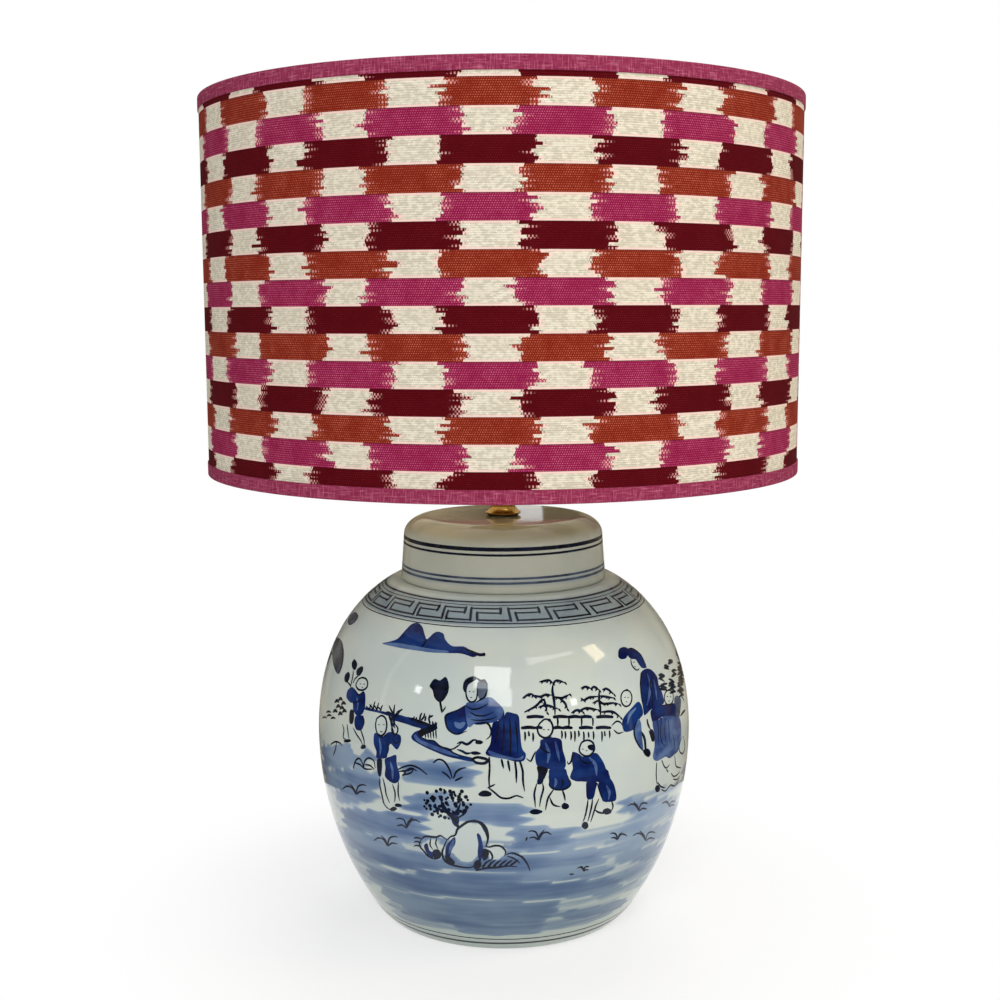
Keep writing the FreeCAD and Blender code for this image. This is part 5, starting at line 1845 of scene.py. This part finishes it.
def brass_material():
    shader = Shader("brass", Metallic=1.0)
    where = shader.place()
    stain = shader.noise(where, 120.0, detail=4.0, seed=2.0)
    brushed = shader.noise(where, 900.0, detail=2.0, stretch=(1, 1, 0.08), seed=4.0)
    bright = shader.blend(stain.rise(0.3, 0.7), srgb(214, 172, 96), srgb(190, 146, 74))
    shader.colour(shader.blend(stain.rise(0.62, 0.8) * 0.5, bright, srgb(122, 88, 40)))
    shader.roughness(stain * 0.18 + brushed * 0.08 + 0.12)
    shader.bump(brushed, 0.03, 0.4)
    return shader


def steel_material(name, tone, rough):
    shader = Shader(name, Metallic=1.0)
    where = shader.place()
    cloud = shader.noise(where, 160.0, detail=4.0)
    shader.colour(shader.blend(cloud.rise(0.3, 0.7), srgb(*tone), srgb(*[value - 34 for value in tone])))
    shader.roughness(cloud * 0.2 + rough)
    shader.bump(shader.noise(where, 1100.0), 0.02, 0.4)
    return shader


def moulded_material(name, tone, rough, grain_mm=0.03):
    """Moulded plastic, rubber or fibre: a faint grain and cloudy colour."""
    shader = Shader(name, Roughness=rough)
    where = shader.place()
    cloud = shader.noise(where, 90.0, detail=3.0)
    darker = [max(value - 16, 0) for value in tone]
    shader.colour(shader.blend(cloud.rise(0.3, 0.7), srgb(*tone), srgb(*darker)))
    shader.bump(shader.noise(where, 1500.0, detail=2.0), grain_mm, 0.5)
    return shader


def felt_material():
    shader = Shader("felt", Roughness=0.95, Specular_IOR_Level=0.1, Sheen_Weight=0.3)
    where = shader.place()
    fibre = shader.noise(where, 1800.0, detail=4.0)
    cloud = shader.noise(where, 160.0)
    shader.colour(shader.blend(fibre * 0.7 + cloud * 0.3, srgb(22, 44, 32), srgb(58, 88, 66)))
    shader.bump(fibre, 0.25, 0.8)
    return shader


def glass_material():
    shader = Shader("bulb_glass", Transmission_Weight=1.0, IOR=1.45)
    where = shader.place()
    film = shader.noise(where, 60.0)
    shader.colour(shader.blend(film, (1, 1, 1, 1), (0.95, 0.96, 0.96, 1)))
    shader.roughness(film * 0.03 + 0.01)
    return shader


def liner_material():
    """The stiff white lining inside the shade, with the cloth's weave just pressing through."""
    shader = Shader("shade_liner", Roughness=0.6, Specular_IOR_Level=0.3)
    where = shader.place()
    cloud = shader.noise(where, 25.0, detail=3.0)
    shader.colour(shader.blend(cloud.rise(0.3, 0.7), srgb(241, 237, 225), srgb(236, 231, 217)))
    shader.bump(shader.noise(where, 900.0, detail=2.0, stretch=(1, 1, 0.2)), 0.05, 0.4)
    return shader


def filament_material():
    shader = Shader("filament", Roughness=0.7)
    where = shader.place()
    beads = shader.noise(where, 1400.0, detail=1.0)
    shader.colour(shader.blend(beads.rise(0.4, 0.6), srgb(236, 196, 76), srgb(214, 160, 44)))
    shader.bump(beads, 0.1, 0.6)
    return shader


def dress_cad_pieces():
    brass = brass_material()
    bright_brass = steel_material("contact_brass", (226, 196, 128), 0.22)
    zinc = steel_material("zinc_steel", (176, 178, 180), 0.3)
    nickel = steel_material("nickel", (196, 192, 184), 0.16)
    white_metal = moulded_material("white_metal", (226, 224, 216), 0.4)
    black = moulded_material("black_phenolic", (30, 28, 27), 0.32)
    rubber = moulded_material("rubber", (34, 34, 34), 0.7, 0.06)
    holder_porcelain = moulded_material("holder_porcelain", (230, 228, 220), 0.25)
    choices = {
        "base_felt": felt_material(),
        "cord_grommet": rubber,
        "neck_clamp_bar": zinc,
        "clamp_lock_washer": zinc,
        "clamp_nut": zinc,
        "threaded_tube": zinc,
        "lid_washer": rubber,
        "brass_dome_washer": brass,
        "shade_clamp_ring": brass,
        "holder_cap": brass,
        "holder_sleeve": brass,
        "holder_grub_screw": bright_brass,
        "switch_block": black,
        "switch_push_bar": black,
        "terminal_screws": bright_brass,
        "holder_insulator": holder_porcelain,
        "contact_shell": bright_brass,
        "centre_contact": bright_brass,
        "bulb_screw_cap": nickel,
        "bulb_cap_insulator": black,
        "bulb_tip_contact": nickel,
        "bulb_glass": glass_material(),
        "bulb_stem": glass_material(),
        "bulb_filaments": filament_material(),
        "shade_liner": liner_material(),
        "shade_top_wire": white_metal,
        "shade_bottom_wire": white_metal,
        "shade_arms": white_metal,
        "shade_fitter_ring": white_metal,
    }
    for name, shader in choices.items():
        dress(part(name), shader)
        if name != "threaded_tube":
            part(name).data.shade_smooth()
            part(name).data.set_sharp_from_angle(angle=math.radians(30))


# --- the whole lamp ---------------------------------------------------------------------

PAINTS = {
    "slate": paint_material("paint_slate", srgb(44, 54, 72), srgb(88, 100, 120)),
    "cobalt": paint_material("paint_cobalt", srgb(4, 18, 72), srgb(16, 52, 114)),
    "mid": paint_material("paint_mid", srgb(44, 68, 122), srgb(92, 118, 162)),
    "ink": paint_material("paint_ink", srgb(4, 10, 24), srgb(12, 26, 54), 160.0),
}


bpy.context.scene.view_settings.view_transform = "Standard"
make_camera()
make_world()
make_floor()
make_lights()
make_room()
cover, cover_size = make_cover()
top_binding = make_binding("top_binding_tape", "shade_top_binding", SHADE_TOP_MM, -1)
bottom_binding = make_binding("bottom_binding_tape", "shade_bottom_binding", SHADE_BOTTOM_MM, 1)
linen = linen_material()
dress(top_binding, linen)
dress(bottom_binding, linen)
make_jar()
paint_jar()
make_lid()
make_lid_rings()
dress_cad_pieces()
